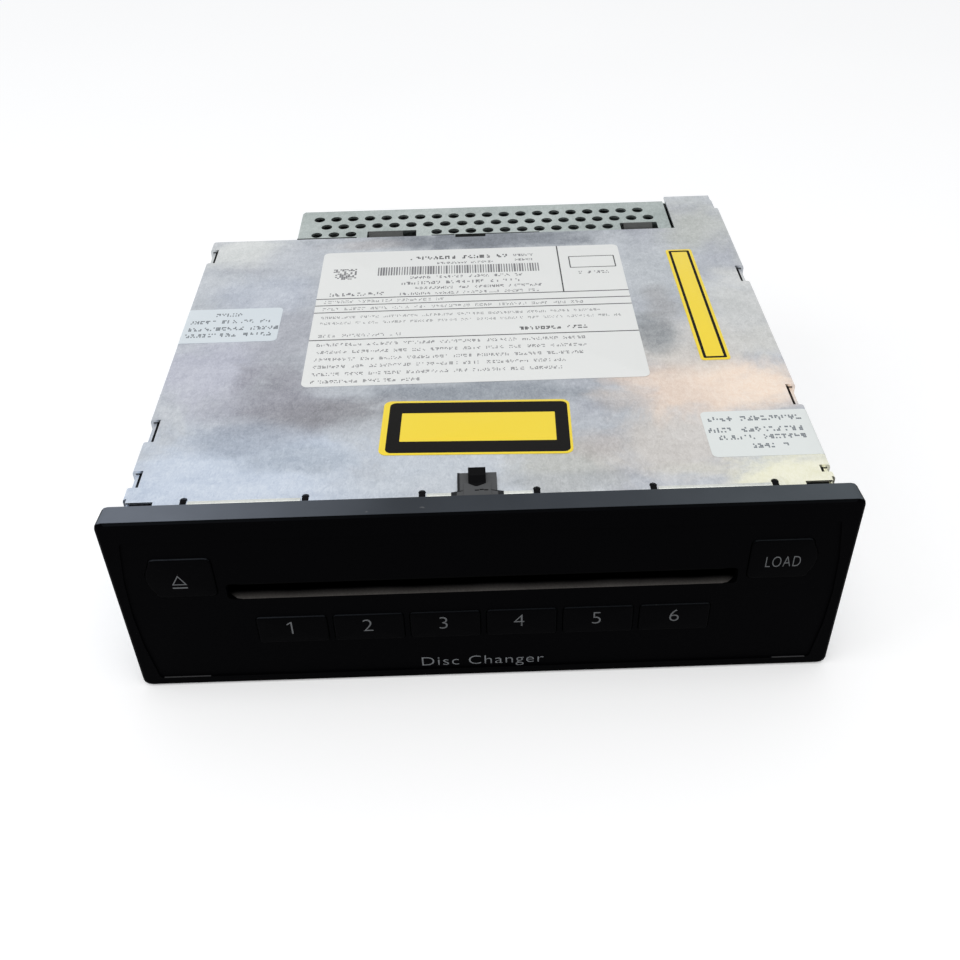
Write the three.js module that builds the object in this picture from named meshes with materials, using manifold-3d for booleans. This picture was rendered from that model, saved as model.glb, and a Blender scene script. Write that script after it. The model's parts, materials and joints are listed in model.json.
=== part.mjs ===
// A slim six-disc changer for a car: black moulded bezel, plated steel body, and the disc mechanism inside.
// Millimetres. X runs to the right, Y to the back, Z up.
import * as THREE from 'three';
import { mergeVertices } from 'three/addons/utils/BufferGeometryUtils.js';
import Module from 'manifold-3d';

const wasm = await Module();
wasm.setup();

// Shared clearances
const overrun = 1;
const seatGap = 0.1;
const movingGap = 0.3;
const runningGap = 0.1;

// Discs and their holders, which the rest is built round
const discRadius = 60;
const holderThickness = 1;
const holderPitch = 2.4;
const holdersPerGroup = 3;
const playGapHeight = 16.4;
const groupTravel = 6;

// Rooms round the discs, from the inside out
const holderSideRoom = 16;
const driveRoom = 13;
const slotSideRoom = 5;
const mountRoom = 7.8;
const stackGap = 0.6;
const holderTopRoom = 5.3;
const coverRoom = 3.7;

// Bezel, the widest and tallest piece
const bezelSideLip = 4.2;
const bezelUnderLip = 7;
const bezelTopLip = 2;
const bezelDepth = 6.7;
const bezelWall = 2.2;
const bezelRimWall = 2;
const bezelPanelRecess = 0.4;
const skirtWall = 1.4;
const skirtRearY = 14;

// Disc slot
const slotHeight = 5.4;
const slotRise = 9.5;
const feltGap = 4.5;

// Steel body
const sheet = 0.8;
const bendRadius = 1;
const coverFrontY = 8.4;
const trayFrontY = 10;
const discRearRoom = 7.9;
const armRearGap = 2;
const tongueOverhang = 0.7;
const coverFlange = 12;
const coverHem = 4;
const rearStripDrop = 1;
const rearStripLeftInset = 28.5;
const rearStripRightInset = 18.8;

// Keys
const keyTravel = 0.8;
const keyGap = 0.25;
const keySpacing = 1.8;
const keyCount = 6;
const keyWidth = 18.2;
const keyHeight = 9.2;
const keyDrop = 14.3;
const wideKeyFromSlot = 2.3;
const wideKeyWidth = 15.5;
const wideKeyHeight = 12.8;
const wideKeyBulge = 1.5;
const wideKeyUnderSlot = 0.9;

// Front circuit board
const frontBoardY = 9;
const boardThickness = 1.6;

// Mechanism frame
const frameFrontY = 15;
const frameRearGap = 2.9;
const frameSheet = 0.8;
const sheetBendSteps = 3;
const frameCurveSteps = 6;
const frameFloorSheet = 1;

// Loading drive
const gearModule = 1;
const gearWidth = 2.5;
const gearCurveSteps = 6;
const rollerFromFrame = 3.5;
const rollerDrop = 5.5;
const rollerToDisc = 2.5;
const rollerRadius = 3.2;
const rollerShaftRadius = 1.2;
const rollerTeeth = 12;
const idlerTeeth = 20;
const motorTeeth = 10;

// Elevator
const columnInset = 6.6;
const columnSpreadShare = 43 / 60;
const columnRadius = 4.5;
const columnTeeth = 10;
const journalRadius = 2;
const elevatorHeight = 2.5;
const elevatorMotorFromColumn = 12;

// Swinging playback arm
const pivotInset = 19;
const pivotFromDisc = 17;
const armHalfWidth = 13;
const armDeckRise = 8.2;
const armSheet = 1;
const rodDrop = 3.8;
const rodRadius = 1.2;

// Heights that follow from the stack: tray, frame, elevator, lower discs, playing gap, upper discs, cover
const bodyBottomZ = bezelUnderLip;
const trayFloorTopZ = bodyBottomZ + sheet;
const frameFloorZ = bodyBottomZ + mountRoom;
const frameFloorTopZ = frameFloorZ + frameFloorSheet;
const elevatorZ = frameFloorTopZ + movingGap;
const groupHeight = (holdersPerGroup - 1) * holderPitch + holderThickness;
const playGapBottomZ = elevatorZ + elevatorHeight + stackGap + groupHeight;
const playGapTopZ = playGapBottomZ + playGapHeight;
const frameTopZ = playGapTopZ + groupHeight + holderTopRoom;
const coverUnderZ = frameTopZ + coverRoom;
const coverTopZ = coverUnderZ + sheet;
const bezelHeight = coverTopZ + bezelTopLip;
const slotCentreZ = playGapBottomZ + slotRise;
const keyCentreZ = slotCentreZ - keyDrop;
const wideKeyBottomZ = slotCentreZ - wideKeyUnderSlot;
const wideKeyTopZ = wideKeyBottomZ + wideKeyHeight;
const rollerZ = slotCentreZ - rollerDrop;
const armDeckZ = playGapBottomZ + armDeckRise;
const rodZ = armDeckZ - rodDrop;

// Widths: discs, frame, drive, body, bezel
const frameHalfWidth = discRadius + holderSideRoom;
const bodyHalf = frameHalfWidth + driveRoom;
const bezelWidth = 2 * (bodyHalf + bezelSideLip);
const slotWidth = 2 * (discRadius + slotSideRoom);
const wideKeyInnerX = slotWidth / 2 + wideKeyFromSlot;
const wideKeyOuterX = wideKeyInnerX + wideKeyWidth;
const keyPitch = keyWidth + keySpacing;
const rearStripLeftX = rearStripLeftInset - bodyHalf;
const rearStripRightX = bodyHalf - rearStripRightInset;
const pivotX = bodyHalf - pivotInset;

// Depths: roller, discs, body, arm
const rollerY = frameFrontY + rollerFromFrame;
const discCentreY = rollerY + rollerToDisc + discRadius;
const columnFrontY = discCentreY - columnSpreadShare * discRadius;
const columnRearY = discCentreY + columnSpreadShare * discRadius;
const elevatorMotorY = columnRearY + elevatorMotorFromColumn;
const mainRearY = discCentreY + discRadius + discRearRoom;
const frameSideRearY = mainRearY - frameRearGap;
const pivotY = discCentreY + discRadius + pivotFromDisc;
const rearWallY = pivotY + armHalfWidth + armRearGap;
const tongueRearY = rearWallY + tongueOverhang;

// Places that follow from these
const trayHalf = bodyHalf - sheet - 2 * seatGap;
const trayInnerHalf = trayHalf - sheet;
const panelRearY = bezelPanelRecess + bezelWall;
const skirtHalf = trayInnerHalf - movingGap;
const skirtBottomZ = trayFloorTopZ + 2 * seatGap;
const skirtTopZ = coverUnderZ - coverHem - 2 * seatGap;
const frameInnerHalf = frameHalfWidth - frameSheet;
const columnX = frameInnerHalf - columnInset;
const stripTopZ = coverTopZ - rearStripDrop;
const columnPitchRadius = columnTeeth * gearModule / 2;
const armLength = Math.hypot(pivotX, pivotY - discCentreY);
const spindleX = pivotX - armLength;

// Solids

function solidOf(geometry) {
  const bare = geometry.clone();
  bare.deleteAttribute('normal');
  bare.deleteAttribute('uv');
  const merged = mergeVertices(bare);
  const points = merged.attributes.position;
  const corners = [];
  let volume = 0;
  const a = new THREE.Vector3();
  const b = new THREE.Vector3();
  const c = new THREE.Vector3();
  for (let i = 0; i < merged.index.count; i += 3) {
    const triple = [0, 1, 2].map((k) => merged.index.getX(i + k));
    if (new Set(triple).size < 3) continue;
    corners.push(...triple);
    a.fromBufferAttribute(points, triple[0]);
    b.fromBufferAttribute(points, triple[1]);
    c.fromBufferAttribute(points, triple[2]);
    volume += a.dot(b.cross(c));
  }
  if (volume < 0) corners.reverse();
  const vertProperties = new Float32Array(points.array);
  const triVerts = new Uint32Array(corners);
  return new wasm.Manifold(new wasm.Mesh({ numProp: 3, vertProperties, triVerts }));
}

function geometryOf(solid) {
  const mesh = solid.getMesh();
  const geometry = new THREE.BufferGeometry();
  geometry.setAttribute('position', new THREE.BufferAttribute(mesh.vertProperties, 3));
  geometry.setIndex(new THREE.BufferAttribute(mesh.triVerts, 1));
  geometry.computeVertexNormals();
  return geometry;
}

const join = (first, ...rest) => rest.reduce((sum, next) => sum.add(next), first);
const cut = (first, ...tools) => tools.reduce((left, tool) => left.subtract(tool), first);

// A block between two values on each axis
function block(xs, ys, zs) {
  const box = new THREE.BoxGeometry(xs[1] - xs[0], ys[1] - ys[0], zs[1] - zs[0]);
  box.translate((xs[0] + xs[1]) / 2, (ys[0] + ys[1]) / 2, (zs[0] + zs[1]) / 2);
  return solidOf(box);
}

// Outlines carried along one axis: an X-Y outline up, an X-Z outline to the back, a Y-Z outline to the right
function extruded(shape, length, segments) {
  return new THREE.ExtrudeGeometry(shape, { depth: length, bevelEnabled: false, curveSegments: segments });
}

function raised(shape, z0, z1, segments = 4) {
  return solidOf(extruded(shape, z1 - z0, segments).translate(0, 0, z0));
}

function deepened(shape, y0, y1, segments = 4) {
  return solidOf(extruded(shape, y1 - y0, segments).rotateX(Math.PI / 2).translate(0, y1, 0));
}

const toRight = new THREE.Matrix4().makeBasis(
  new THREE.Vector3(0, 1, 0),
  new THREE.Vector3(0, 0, 1),
  new THREE.Vector3(1, 0, 0),
);

function widened(shape, x0, x1, segments = 4) {
  return solidOf(extruded(shape, x1 - x0, segments).applyMatrix4(toRight).translate(x0, 0, 0));
}

// A round bar along an axis; its centre is given on the other two axes in X, Y, Z order
function bar(axis, centre, from, to, radius, sides = 12) {
  const geometry = new THREE.CylinderGeometry(radius, radius, to - from, sides);
  geometry.translate(0, (from + to) / 2, 0);
  if (axis === 'x') geometry.rotateZ(-Math.PI / 2).translate(0, centre[0], centre[1]);
  if (axis === 'y') geometry.translate(centre[0], 0, centre[1]);
  if (axis === 'z') geometry.rotateX(Math.PI / 2).translate(centre[0], centre[1], 0);
  return solidOf(geometry);
}

// A profile of radius and height turned about a vertical line; an open profile ends on the line
function turned(profile, x, y, sides = 24) {
  const points = profile.map(([radius, height]) => new THREE.Vector2(radius, height));
  const geometry = new THREE.LatheGeometry(points, sides).rotateX(Math.PI / 2);
  return solidOf(geometry.translate(x, y, 0));
}

// The same, about a line along X
function turnedAlongX(profile, y, z, sides = 12) {
  const points = profile.map(([radius, along]) => new THREE.Vector2(radius, along));
  const geometry = new THREE.LatheGeometry(points, sides).rotateZ(-Math.PI / 2);
  return solidOf(geometry.translate(0, y, z));
}


function outline(points) {
  return new THREE.Shape(points.map(([u, v]) => new THREE.Vector2(u, v)));
}

function roundedOutline(u0, u1, v0, v1, radius) {
  const shape = new THREE.Shape();
  shape.moveTo(u0 + radius, v0);
  shape.lineTo(u1 - radius, v0);
  shape.absarc(u1 - radius, v0 + radius, radius, -Math.PI / 2, 0);
  shape.lineTo(u1, v1 - radius);
  shape.absarc(u1 - radius, v1 - radius, radius, 0, Math.PI / 2);
  shape.lineTo(u0 + radius, v1);
  shape.absarc(u0 + radius, v1 - radius, radius, Math.PI / 2, Math.PI);
  shape.lineTo(u0, v0 + radius);
  shape.absarc(u0 + radius, v0 + radius, radius, Math.PI, 1.5 * Math.PI);
  return shape;
}

function circlePath(u, v, radius) {
  const path = new THREE.Path();
  path.absarc(u, v, radius, 0, 2 * Math.PI);
  return path;
}

// A closed skin over rings that all have the same number of points
function skinned(rings) {
  const count = rings[0].length;
  const positions = rings.flatMap((ring) => ring.flatMap((point) => point.toArray()));
  const index = [];
  for (let i = 0; i + 1 < rings.length; i += 1) {
    for (let k = 0; k < count; k += 1) {
      const low = i * count;
      const high = low + count;
      const next = (k + 1) % count;
      index.push(low + k, low + next, high + next, low + k, high + next, high + k);
    }
  }
  const last = (rings.length - 1) * count;
  for (let k = 1; k + 1 < count; k += 1) {
    index.push(0, k + 1, k);
    index.push(last, last + k, last + k + 1);
  }
  const geometry = new THREE.BufferGeometry();
  geometry.setAttribute('position', new THREE.Float32BufferAttribute(positions, 3));
  geometry.setIndex(index);
  return solidOf(geometry);
}

// Gears and racks

const pressureAngle = 20 * Math.PI / 180;
const addendumShare = 0.7;
const rackAddendumShare = 0.58;
const dedendumShare = 1.2;
const gearBacklash = 0.12;
const toothPitch = Math.PI * gearModule;
const leadTeeth = 1.5;
const involute = (angle) => Math.tan(angle) - angle;

// Involute gear outline; phase is the direction of one tooth's middle
function gearOutline(teeth, phase, boreRadius) {
  const pitchRadius = teeth * gearModule / 2;
  const baseRadius = pitchRadius * Math.cos(pressureAngle);
  const tipRadius = pitchRadius + addendumShare * gearModule;
  const rootRadius = pitchRadius - dedendumShare * gearModule;
  const halfAtPitch = Math.PI / (2 * teeth) - gearBacklash / (2 * pitchRadius);
  const flank = [rootRadius, pitchRadius, tipRadius].map((radius) => {
    const angle = Math.acos(Math.min(baseRadius / radius, 1));
    return [radius, halfAtPitch + involute(pressureAngle) - involute(angle)];
  });
  const points = [];
  for (let tooth = 0; tooth < teeth; tooth += 1) {
    const middle = phase + tooth * 2 * Math.PI / teeth;
    flank.forEach(([radius, half]) => points.push([radius, middle - half]));
    [...flank].reverse().forEach(([radius, half]) => points.push([radius, middle + half]));
  }
  const corners = points.map(([radius, angle]) => [radius * Math.cos(angle), radius * Math.sin(angle)]);
  const shape = outline(corners);
  if (boreRadius > 0) shape.holes.push(circlePath(0, 0, boreRadius));
  return shape;
}

// Phase of a driven gear that meshes with a driver in the direction from driver to driven
function meshPhase(driverTeeth, driverPhase, drivenTeeth, direction) {
  const along = (direction - driverPhase) * driverTeeth - Math.PI;
  return direction + Math.PI + along / drivenTeeth;
}

// Rack teeth along Y from a pitch line, pointing to one side, with a gap in the middle at centreY
function rackTeeth(pitchX, side, centreY, after, z0, z1) {
  const halfAtPitch = toothPitch / 4 - gearBacklash / 2;
  const tip = rackAddendumShare * gearModule;
  const root = dedendumShare * gearModule;
  const slope = Math.tan(pressureAngle);
  const teeth = [];
  for (let k = -leadTeeth; k * toothPitch < after; k += 1) {
    const middle = centreY + k * toothPitch;
    teeth.push(raised(outline([
      [pitchX - side * (root + seatGap), middle - halfAtPitch - slope * root],
      [pitchX + side * tip, middle - halfAtPitch + slope * tip],
      [pitchX + side * tip, middle + halfAtPitch - slope * tip],
      [pitchX - side * (root + seatGap), middle + halfAtPitch + slope * root],
    ]), z0, z1));
  }
  return teeth;
}

// The object and its pieces

const unit = new THREE.Group();
unit.name = 'disc_changer';
unit.position.y = -tongueRearY / 2;

function addPiece(name, solid, color, roughness, metalness, parent = unit) {
  const material = new THREE.MeshStandardMaterial({ color, roughness, metalness });
  const mesh = new THREE.Mesh(geometryOf(solid), material);
  mesh.name = name;
  parent.add(mesh);
}

const finish = {
  bezel: [0x17181a, 0.55, 0],
  key: [0x1b1c1f, 0.45, 0],
  felt: [0x3b3835, 0.95, 0],
  plated: [0xb9bac0, 0.35, 0.9],
  frameSteel: [0xa6a8a6, 0.4, 0.9],
  board: [0x1f4a30, 0.5, 0],
  socket: [0x202124, 0.6, 0],
  rubber: [0x141414, 0.85, 0],
  white: [0xe4e2da, 0.5, 0],
  gear: [0xd8cfb8, 0.45, 0],
  motor: [0xc2c4c6, 0.3, 0.9],
  bronze: [0x9a6a3a, 0.4, 0.9],
  shaft: [0xd2d4d6, 0.2, 1],
  holder: [0x2a2b2e, 0.5, 0],
  pickup: [0x6c7078, 0.4, 0.7],
  lens: [0x9fb4c8, 0.1, 0],
};

// Outline of the wide keys beside the slot, grown by a margin; side is -1 on the left and 1 on the right
const wideKeyCorner = 1.6;

function wideKeyOutline(side, margin) {
  const inner = side * (wideKeyInnerX - margin);
  const outer = side * (wideKeyOuterX + margin);
  const bulge = side * (wideKeyOuterX + wideKeyBulge + margin);
  const low = wideKeyBottomZ - margin;
  const high = wideKeyTopZ + margin;
  const corner = wideKeyCorner + margin;
  const shape = new THREE.Shape();
  shape.moveTo(inner + side * corner, low);
  shape.lineTo(outer - side * corner, low);
  shape.quadraticCurveTo(outer, low, outer, low + corner);
  shape.quadraticCurveTo(bulge + side * wideKeyBulge, (low + high) / 2, outer, high - corner);
  shape.quadraticCurveTo(outer, high, outer - side * corner, high);
  shape.lineTo(inner + side * corner, high);
  shape.quadraticCurveTo(inner, high, inner, high - corner);
  shape.lineTo(inner, low + corner);
  shape.quadraticCurveTo(inner, low, inner + side * corner, low);
  return shape;
}

const numberKeyCorner = 0.8;

function numberKeyX(index) {
  return (index - (keyCount - 1) / 2) * keyPitch;
}

function numberKeyOutline(index, margin) {
  const half = keyWidth / 2 + margin;
  const tall = keyHeight / 2 + margin;
  const x = numberKeyX(index);
  return roundedOutline(x - half, x + half, keyCentreZ - tall, keyCentreZ + tall, numberKeyCorner + margin);
}

// Bezel: a shell with a recessed front panel, a deeper skirt that enters the body, bosses and snap lugs

const bezelShape = {
  corner: 2,
  edge: 0.7,
  edgeShares: [1, 0.3, 0],
  draft: 0.25,
  panelSideInset: 4.8,
  panelBulge: 2,
  panelBottomZ: 3,
  panelTopInset: 6.5,
  panelCorner: 1.5,
};

function bezelRing(y, inset) {
  const halfX = bezelWidth / 2 - inset;
  const low = inset;
  const high = bezelHeight - inset;
  const arcs = 3;
  const corners = [[1, 0, 0], [1, 1, 1], [-1, 1, 2], [-1, 0, 3]];
  return corners.flatMap(([sx, sz, turn]) => {
    const cx = sx * (halfX - bezelShape.corner);
    const cz = sz ? high - bezelShape.corner : low + bezelShape.corner;
    return Array.from({ length: arcs + 1 }, (_, k) => {
      const angle = (turn - 1 + k / arcs) * Math.PI / 2;
      const [across, up] = [Math.cos(angle), Math.sin(angle)].map((share) => bezelShape.corner * share);
      return new THREE.Vector3(cx + across, y, cz + up);
    });
  });
}

function panelOutline() {
  const { panelBottomZ, panelCorner } = bezelShape;
  const panelSideX = bezelWidth / 2 - bezelShape.panelSideInset;
  const panelTopZ = bezelHeight - bezelShape.panelTopInset;
  const controlX = panelSideX + 2 * bezelShape.panelBulge;
  const middle = (panelBottomZ + panelTopZ) / 2;
  const shape = new THREE.Shape();
  shape.moveTo(-panelSideX + panelCorner, panelBottomZ);
  shape.lineTo(panelSideX - panelCorner, panelBottomZ);
  shape.quadraticCurveTo(panelSideX, panelBottomZ, panelSideX, panelBottomZ + panelCorner);
  shape.quadraticCurveTo(controlX, middle, panelSideX, panelTopZ - panelCorner);
  shape.quadraticCurveTo(panelSideX, panelTopZ, panelSideX - panelCorner, panelTopZ);
  shape.lineTo(-panelSideX + panelCorner, panelTopZ);
  shape.quadraticCurveTo(-panelSideX, panelTopZ, -panelSideX, panelTopZ - panelCorner);
  shape.quadraticCurveTo(-controlX, middle, -panelSideX, panelBottomZ + panelCorner);
  shape.quadraticCurveTo(-panelSideX, panelBottomZ, -panelSideX + panelCorner, panelBottomZ);
  return shape;
}

// Snap lugs on the skirt's sides and the windows in the tray that take them
const snap = { y: 11.2, depth: 2.2, height: 6, lowRise: 11, highDrop: 14.2, proud: 0.9 };
const snapZs = [bodyBottomZ + snap.lowRise, coverUnderZ - snap.highDrop];

const boardBoss = { radius: 1.8, sideInset: 3.5, lowInset: 3.4, highInset: 1, sides: 8 };
const feltLedge = { depth: 3.6, thickness: 1.2 };
const feltThickness = 1.9;
const feltDepth = 2.6;
const feltOverlap = 1;
const feltWidth = slotWidth + 2 * feltOverlap;
const feltRoundShare = 1 / 3;
const feltFlatShares = [0.25, 0.75];

function frontBezel() {
  const rings = bezelShape.edgeShares.map((share) => {
    const inset = bezelShape.edge * share * share;
    return bezelRing(bezelShape.edge * (1 - share), inset);
  });
  rings.push(bezelRing(bezelDepth, bezelShape.draft));
  const shell = skinned(rings);
  const innerHalf = bezelWidth / 2 - bezelRimWall;
  const hollow = block(
    [-innerHalf, innerHalf],
    [panelRearY, bezelDepth + overrun],
    [bezelRimWall, bezelHeight - bezelRimWall],
  );
  const skirt = cut(
    block([-skirtHalf, skirtHalf], [panelRearY - seatGap, skirtRearY], [skirtBottomZ, skirtTopZ]),
    block(
      [-skirtHalf + skirtWall, skirtHalf - skirtWall],
      [panelRearY - overrun, skirtRearY + overrun],
      [skirtBottomZ + skirtWall, skirtTopZ - skirtWall],
    ),
  );
  const extras = [];
  [-1, 1].forEach((side) => snapZs.forEach((z) => {
    const face = side * (skirtHalf - seatGap);
    extras.push(raised(outline([
      [face, snap.y],
      [face + side * snap.proud, snap.y],
      [face, snap.y + snap.depth],
    ]), z, z + snap.height - 2 * movingGap));
  }));
  const bossX = frontBoardHalf - boardBoss.sideInset;
  const bossZs = [frontBoardBottomZ + boardBoss.lowInset, frontBoardTopZ - boardBoss.highInset];
  [-bossX, bossX].forEach((x) => bossZs.forEach((z) => {
    const [front, rear] = [panelRearY - seatGap, frontBoardY - seatGap];
    extras.push(bar('y', [x, z], front, rear, boardBoss.radius, boardBoss.sides));
  }));
  const ledgeHalf = feltWidth / 2;
  [-1, 1].forEach((side) => {
    const edge = slotCentreZ + side * (feltGap / 2 + feltThickness + seatGap);
    const zs = [edge, edge + side * feltLedge.thickness].sort((p, q) => p - q);
    extras.push(block([-ledgeHalf, ledgeHalf], [panelRearY - seatGap, panelRearY + feltLedge.depth], zs));
  });
  const slotHalf = slotWidth / 2;
  const slotTall = slotHeight / 2;
  const slot = deepened(
    roundedOutline(-slotHalf, slotHalf, slotCentreZ - slotTall, slotCentreZ + slotTall, slotTall / 2),
    -overrun,
    panelRearY,
  );
  const openings = [-1, 1].map((side) => {
    const shape = wideKeyOutline(side, keyGap);
    return deepened(shape, -overrun, panelRearY + overrun, key.wideCornerSteps);
  });
  for (let i = 0; i < keyCount; i += 1) {
    const shape = numberKeyOutline(i, keyGap);
    openings.push(deepened(shape, -overrun, panelRearY + overrun, key.numberCornerSteps));
  }
  const recess = deepened(panelOutline(), -overrun, bezelPanelRecess);
  return cut(join(cut(shell, hollow), skirt, ...extras), recess, slot, ...openings);
}

// Dust felts on the ledges above and below the slot; each has a soft, rounded lip
function slotFelt(side) {
  const lip = slotCentreZ + side * feltGap / 2;
  const back = lip + side * feltThickness;
  const round = side * feltThickness * feltRoundShare;
  const front = panelRearY + seatGap;
  const shape = outline([
    [front, back],
    [front, lip + round],
    [front + feltDepth * feltFlatShares[0], lip],
    [front + feltDepth * feltFlatShares[1], lip],
    [front + feltDepth, lip + round],
    [front + feltDepth, back],
  ]);
  return widened(shape, -feltWidth / 2, feltWidth / 2);
}

// Keys: a cap with ears that catch behind the panel and a stem that reaches its switch
const key = {
  faceProud: 0.25, earDepth: 1.1, earHeight: 0.9, earShare: 0.5, stemRadius: 1.5,
  wideCornerSteps: 3, numberCornerSteps: 1,
};
const keySwitch = { size: 6, height: 3.4, plungerRadius: 1.7, plungerHeight: 0.5, plungerSides: 6 };
const plungerY = frontBoardY - keySwitch.height - keySwitch.plungerHeight;

function keyWith(cap, x, halfWidth, low, high) {
  const earFront = panelRearY + movingGap;
  const earHalf = halfWidth * key.earShare;
  const ears = block(
    [x - earHalf, x + earHalf],
    [earFront, earFront + key.earDepth],
    [low - key.earHeight, high + key.earHeight],
  );
  const stemRearY = plungerY - keyTravel - seatGap;
  const middle = (low + high) / 2;
  const webZs = [middle - key.stemRadius, middle + key.stemRadius];
  const web = block([x - earHalf, x + earHalf], [earFront, stemRearY], webZs);
  return join(cap, ears, web);
}

function wideKey(side) {
  const [faceY, rearY] = [bezelPanelRecess - key.faceProud, panelRearY + key.earDepth];
  const cap = deepened(wideKeyOutline(side, 0), faceY, rearY, key.wideCornerSteps);
  const x = side * (wideKeyInnerX + wideKeyOuterX) / 2;
  return keyWith(cap, x, (wideKeyOuterX - wideKeyInnerX) / 2, wideKeyBottomZ, wideKeyTopZ);
}

function numberKey(index) {
  const [faceY, rearY] = [bezelPanelRecess - key.faceProud, panelRearY + key.earDepth];
  const cap = deepened(numberKeyOutline(index, 0), faceY, rearY, key.numberCornerSteps);
  const low = keyCentreZ - keyHeight / 2;
  return keyWith(cap, numberKeyX(index), keyWidth / 2, low, low + keyHeight);
}

// Snap clip between the bezel's rear edge and the cover's front edge
const latch = {
  centreX: -1,
  halfWidth: 4.8,
  footHalfWidth: 5.6,
  footReach: 2.9,
  reach: 6.9,
  thickness: 1.1,
  shoulderWidth: 1.8,
  shoulderHeight: 1.6,
  hookHalfWidth: 1.75,
  hookReach: 12.9,
  hookRise: 2.8,
};

function bezelLatch() {
  const { centreX, halfWidth, footHalfWidth, thickness } = latch;
  const footRearY = bezelDepth + latch.footReach;
  const rearY = bezelDepth + latch.reach;
  const hookRearY = bezelDepth + latch.hookReach;
  const hookTopZ = coverTopZ + latch.hookRise;
  const base = coverTopZ + seatGap;
  const front = bezelDepth + seatGap;
  const footXs = [centreX - footHalfWidth, centreX + footHalfWidth];
  const foot = block(footXs, [front, footRearY], [base, base + thickness]);
  const plate = block([centreX - halfWidth, centreX + halfWidth], [front, rearY], [base, base + thickness]);
  const shoulders = [-1, 1].map((side) => {
    const outer = centreX + side * halfWidth;
    const inner = outer - side * latch.shoulderWidth;
    const xs = [outer, inner].sort((p, q) => p - q);
    return block(xs, [footRearY, rearY], [base, base + latch.shoulderHeight]);
  });
  const hook = widened(outline([
    [footRearY, base],
    [hookRearY, base],
    [hookRearY, hookTopZ - thickness],
    [rearY + thickness, hookTopZ],
    [rearY - thickness, hookTopZ],
    [footRearY, base + latch.shoulderHeight],
  ]), centreX - latch.hookHalfWidth, centreX + latch.hookHalfWidth);
  return join(foot, plate, ...shoulders, hook);
}

// Steel channel open on one side: a web with two flanges and round bends;
// upward is 1 for a tray and -1 for a lid
function channelOutline(halfWidth, webZ, upward, flange) {
  const inner = halfWidth - sheet;
  const points = [[halfWidth, webZ + upward * flange]];
  for (let k = 0; k <= bendSteps; k += 1) {
    const angle = k / bendSteps * Math.PI / 2;
    const reach = halfWidth - bendRadius;
    const height = bendRadius - bendRadius * Math.sin(angle);
    points.push([reach + bendRadius * Math.cos(angle), webZ + upward * height]);
  }
  const mirrored = points.map(([x, z]) => [-x, z]).reverse();
  const inside = [
    [-inner, webZ + upward * flange],
    [-inner, webZ + upward * sheet],
    [inner, webZ + upward * sheet],
    [inner, webZ + upward * flange],
  ];
  return outline([...points, ...mirrored, ...inside]);
}

// Top cover: lid with side flanges, three front hems between relief holes, side notches and a rear tongue
const cover = {
  cornerNotch: 8,
  cornerNotchDepth: 3.2,
  reliefRadius: 1,
  reliefDepth: 2,
  reliefSides: 8,
  tongueGap: 0.7,
  tongueStepLength: 10.3,
  tongueStep: 1.9,
  rearSlotHalf: 5.3,
  rearSlotDepth: 1.4,
  notchDepth: 3,
  notchDrop: 4,
};
const reliefShares = [0.16, 0.485, 0.825];
const reliefXs = reliefShares.map((share) => share * bodyHalf);
const bendSteps = 3;

// Notches in the cover's side bends: side, and where each starts and ends as shares of the main body's depth
const sideNotchShares = [
  [-1, 0.054, 0.102],
  [-1, 0.189, 0.26],
  [-1, 0.893, 0.96],
  [1, 0.036, 0.056],
  [1, 0.243, 0.312],
  [1, 0.727, 0.799],
];

function topCover() {
  const profile = channelOutline(bodyHalf, coverTopZ, -1, coverFlange);
  const lid = deepened(profile, coverFrontY, tongueRearY, sheetBendSteps);
  const below = coverTopZ - coverFlange - overrun;
  const above = coverTopZ + overrun;
  const beyond = bodyHalf + overrun;
  const tongueLeftX = rearStripRightX + cover.tongueGap;
  const tools = [block([-beyond, tongueLeftX], [mainRearY, tongueRearY + overrun], [below, above])];
  [-1, 1].forEach((side) => {
    const xs = [side * (bodyHalf - cover.cornerNotch), side * beyond].sort((p, q) => p - q);
    tools.push(block(xs, [coverFrontY - overrun, coverFrontY + cover.cornerNotchDepth], [below, above]));
  });
  const stepYs = [tongueRearY - cover.tongueStepLength, tongueRearY + overrun];
  tools.push(block([bodyHalf - cover.tongueStep, beyond], stepYs, [below, above]));
  const depth = mainRearY - coverFrontY;
  sideNotchShares.forEach(([side, from, to]) => {
    const xs = [side * (bodyHalf - cover.notchDepth), side * beyond].sort((p, q) => p - q);
    const ys = [from, to].map((share) => coverFrontY + share * depth);
    tools.push(block(xs, ys, [coverTopZ - cover.notchDrop, above]));
  });
  tools.push(block(
    [-cover.rearSlotHalf, cover.rearSlotHalf],
    [mainRearY - cover.rearSlotDepth, mainRearY + overrun],
    [below, above],
  ));
  const reliefY = coverFrontY + cover.reliefDepth;
  reliefXs.forEach((x) => [-1, 1].forEach((side) => {
    tools.push(bar('z', [side * x, reliefY], below, above, cover.reliefRadius, cover.reliefSides));
    tools.push(block(
      [side * x - cover.reliefRadius / 2, side * x + cover.reliefRadius / 2],
      [coverFrontY - overrun, reliefY],
      [below, above],
    ));
  }));
  const hemEdges = [[-reliefXs[2], -reliefXs[1]], [-reliefXs[0], reliefXs[0]], [reliefXs[1], reliefXs[2]]];
  const hems = hemEdges.map(([from, to]) => block(
    [from + cover.reliefRadius, to - cover.reliefRadius],
    [coverFrontY, coverFrontY + sheet],
    [coverUnderZ - coverHem, coverUnderZ + seatGap],
  ));
  return join(cut(lid, ...tools), ...hems);
}

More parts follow.
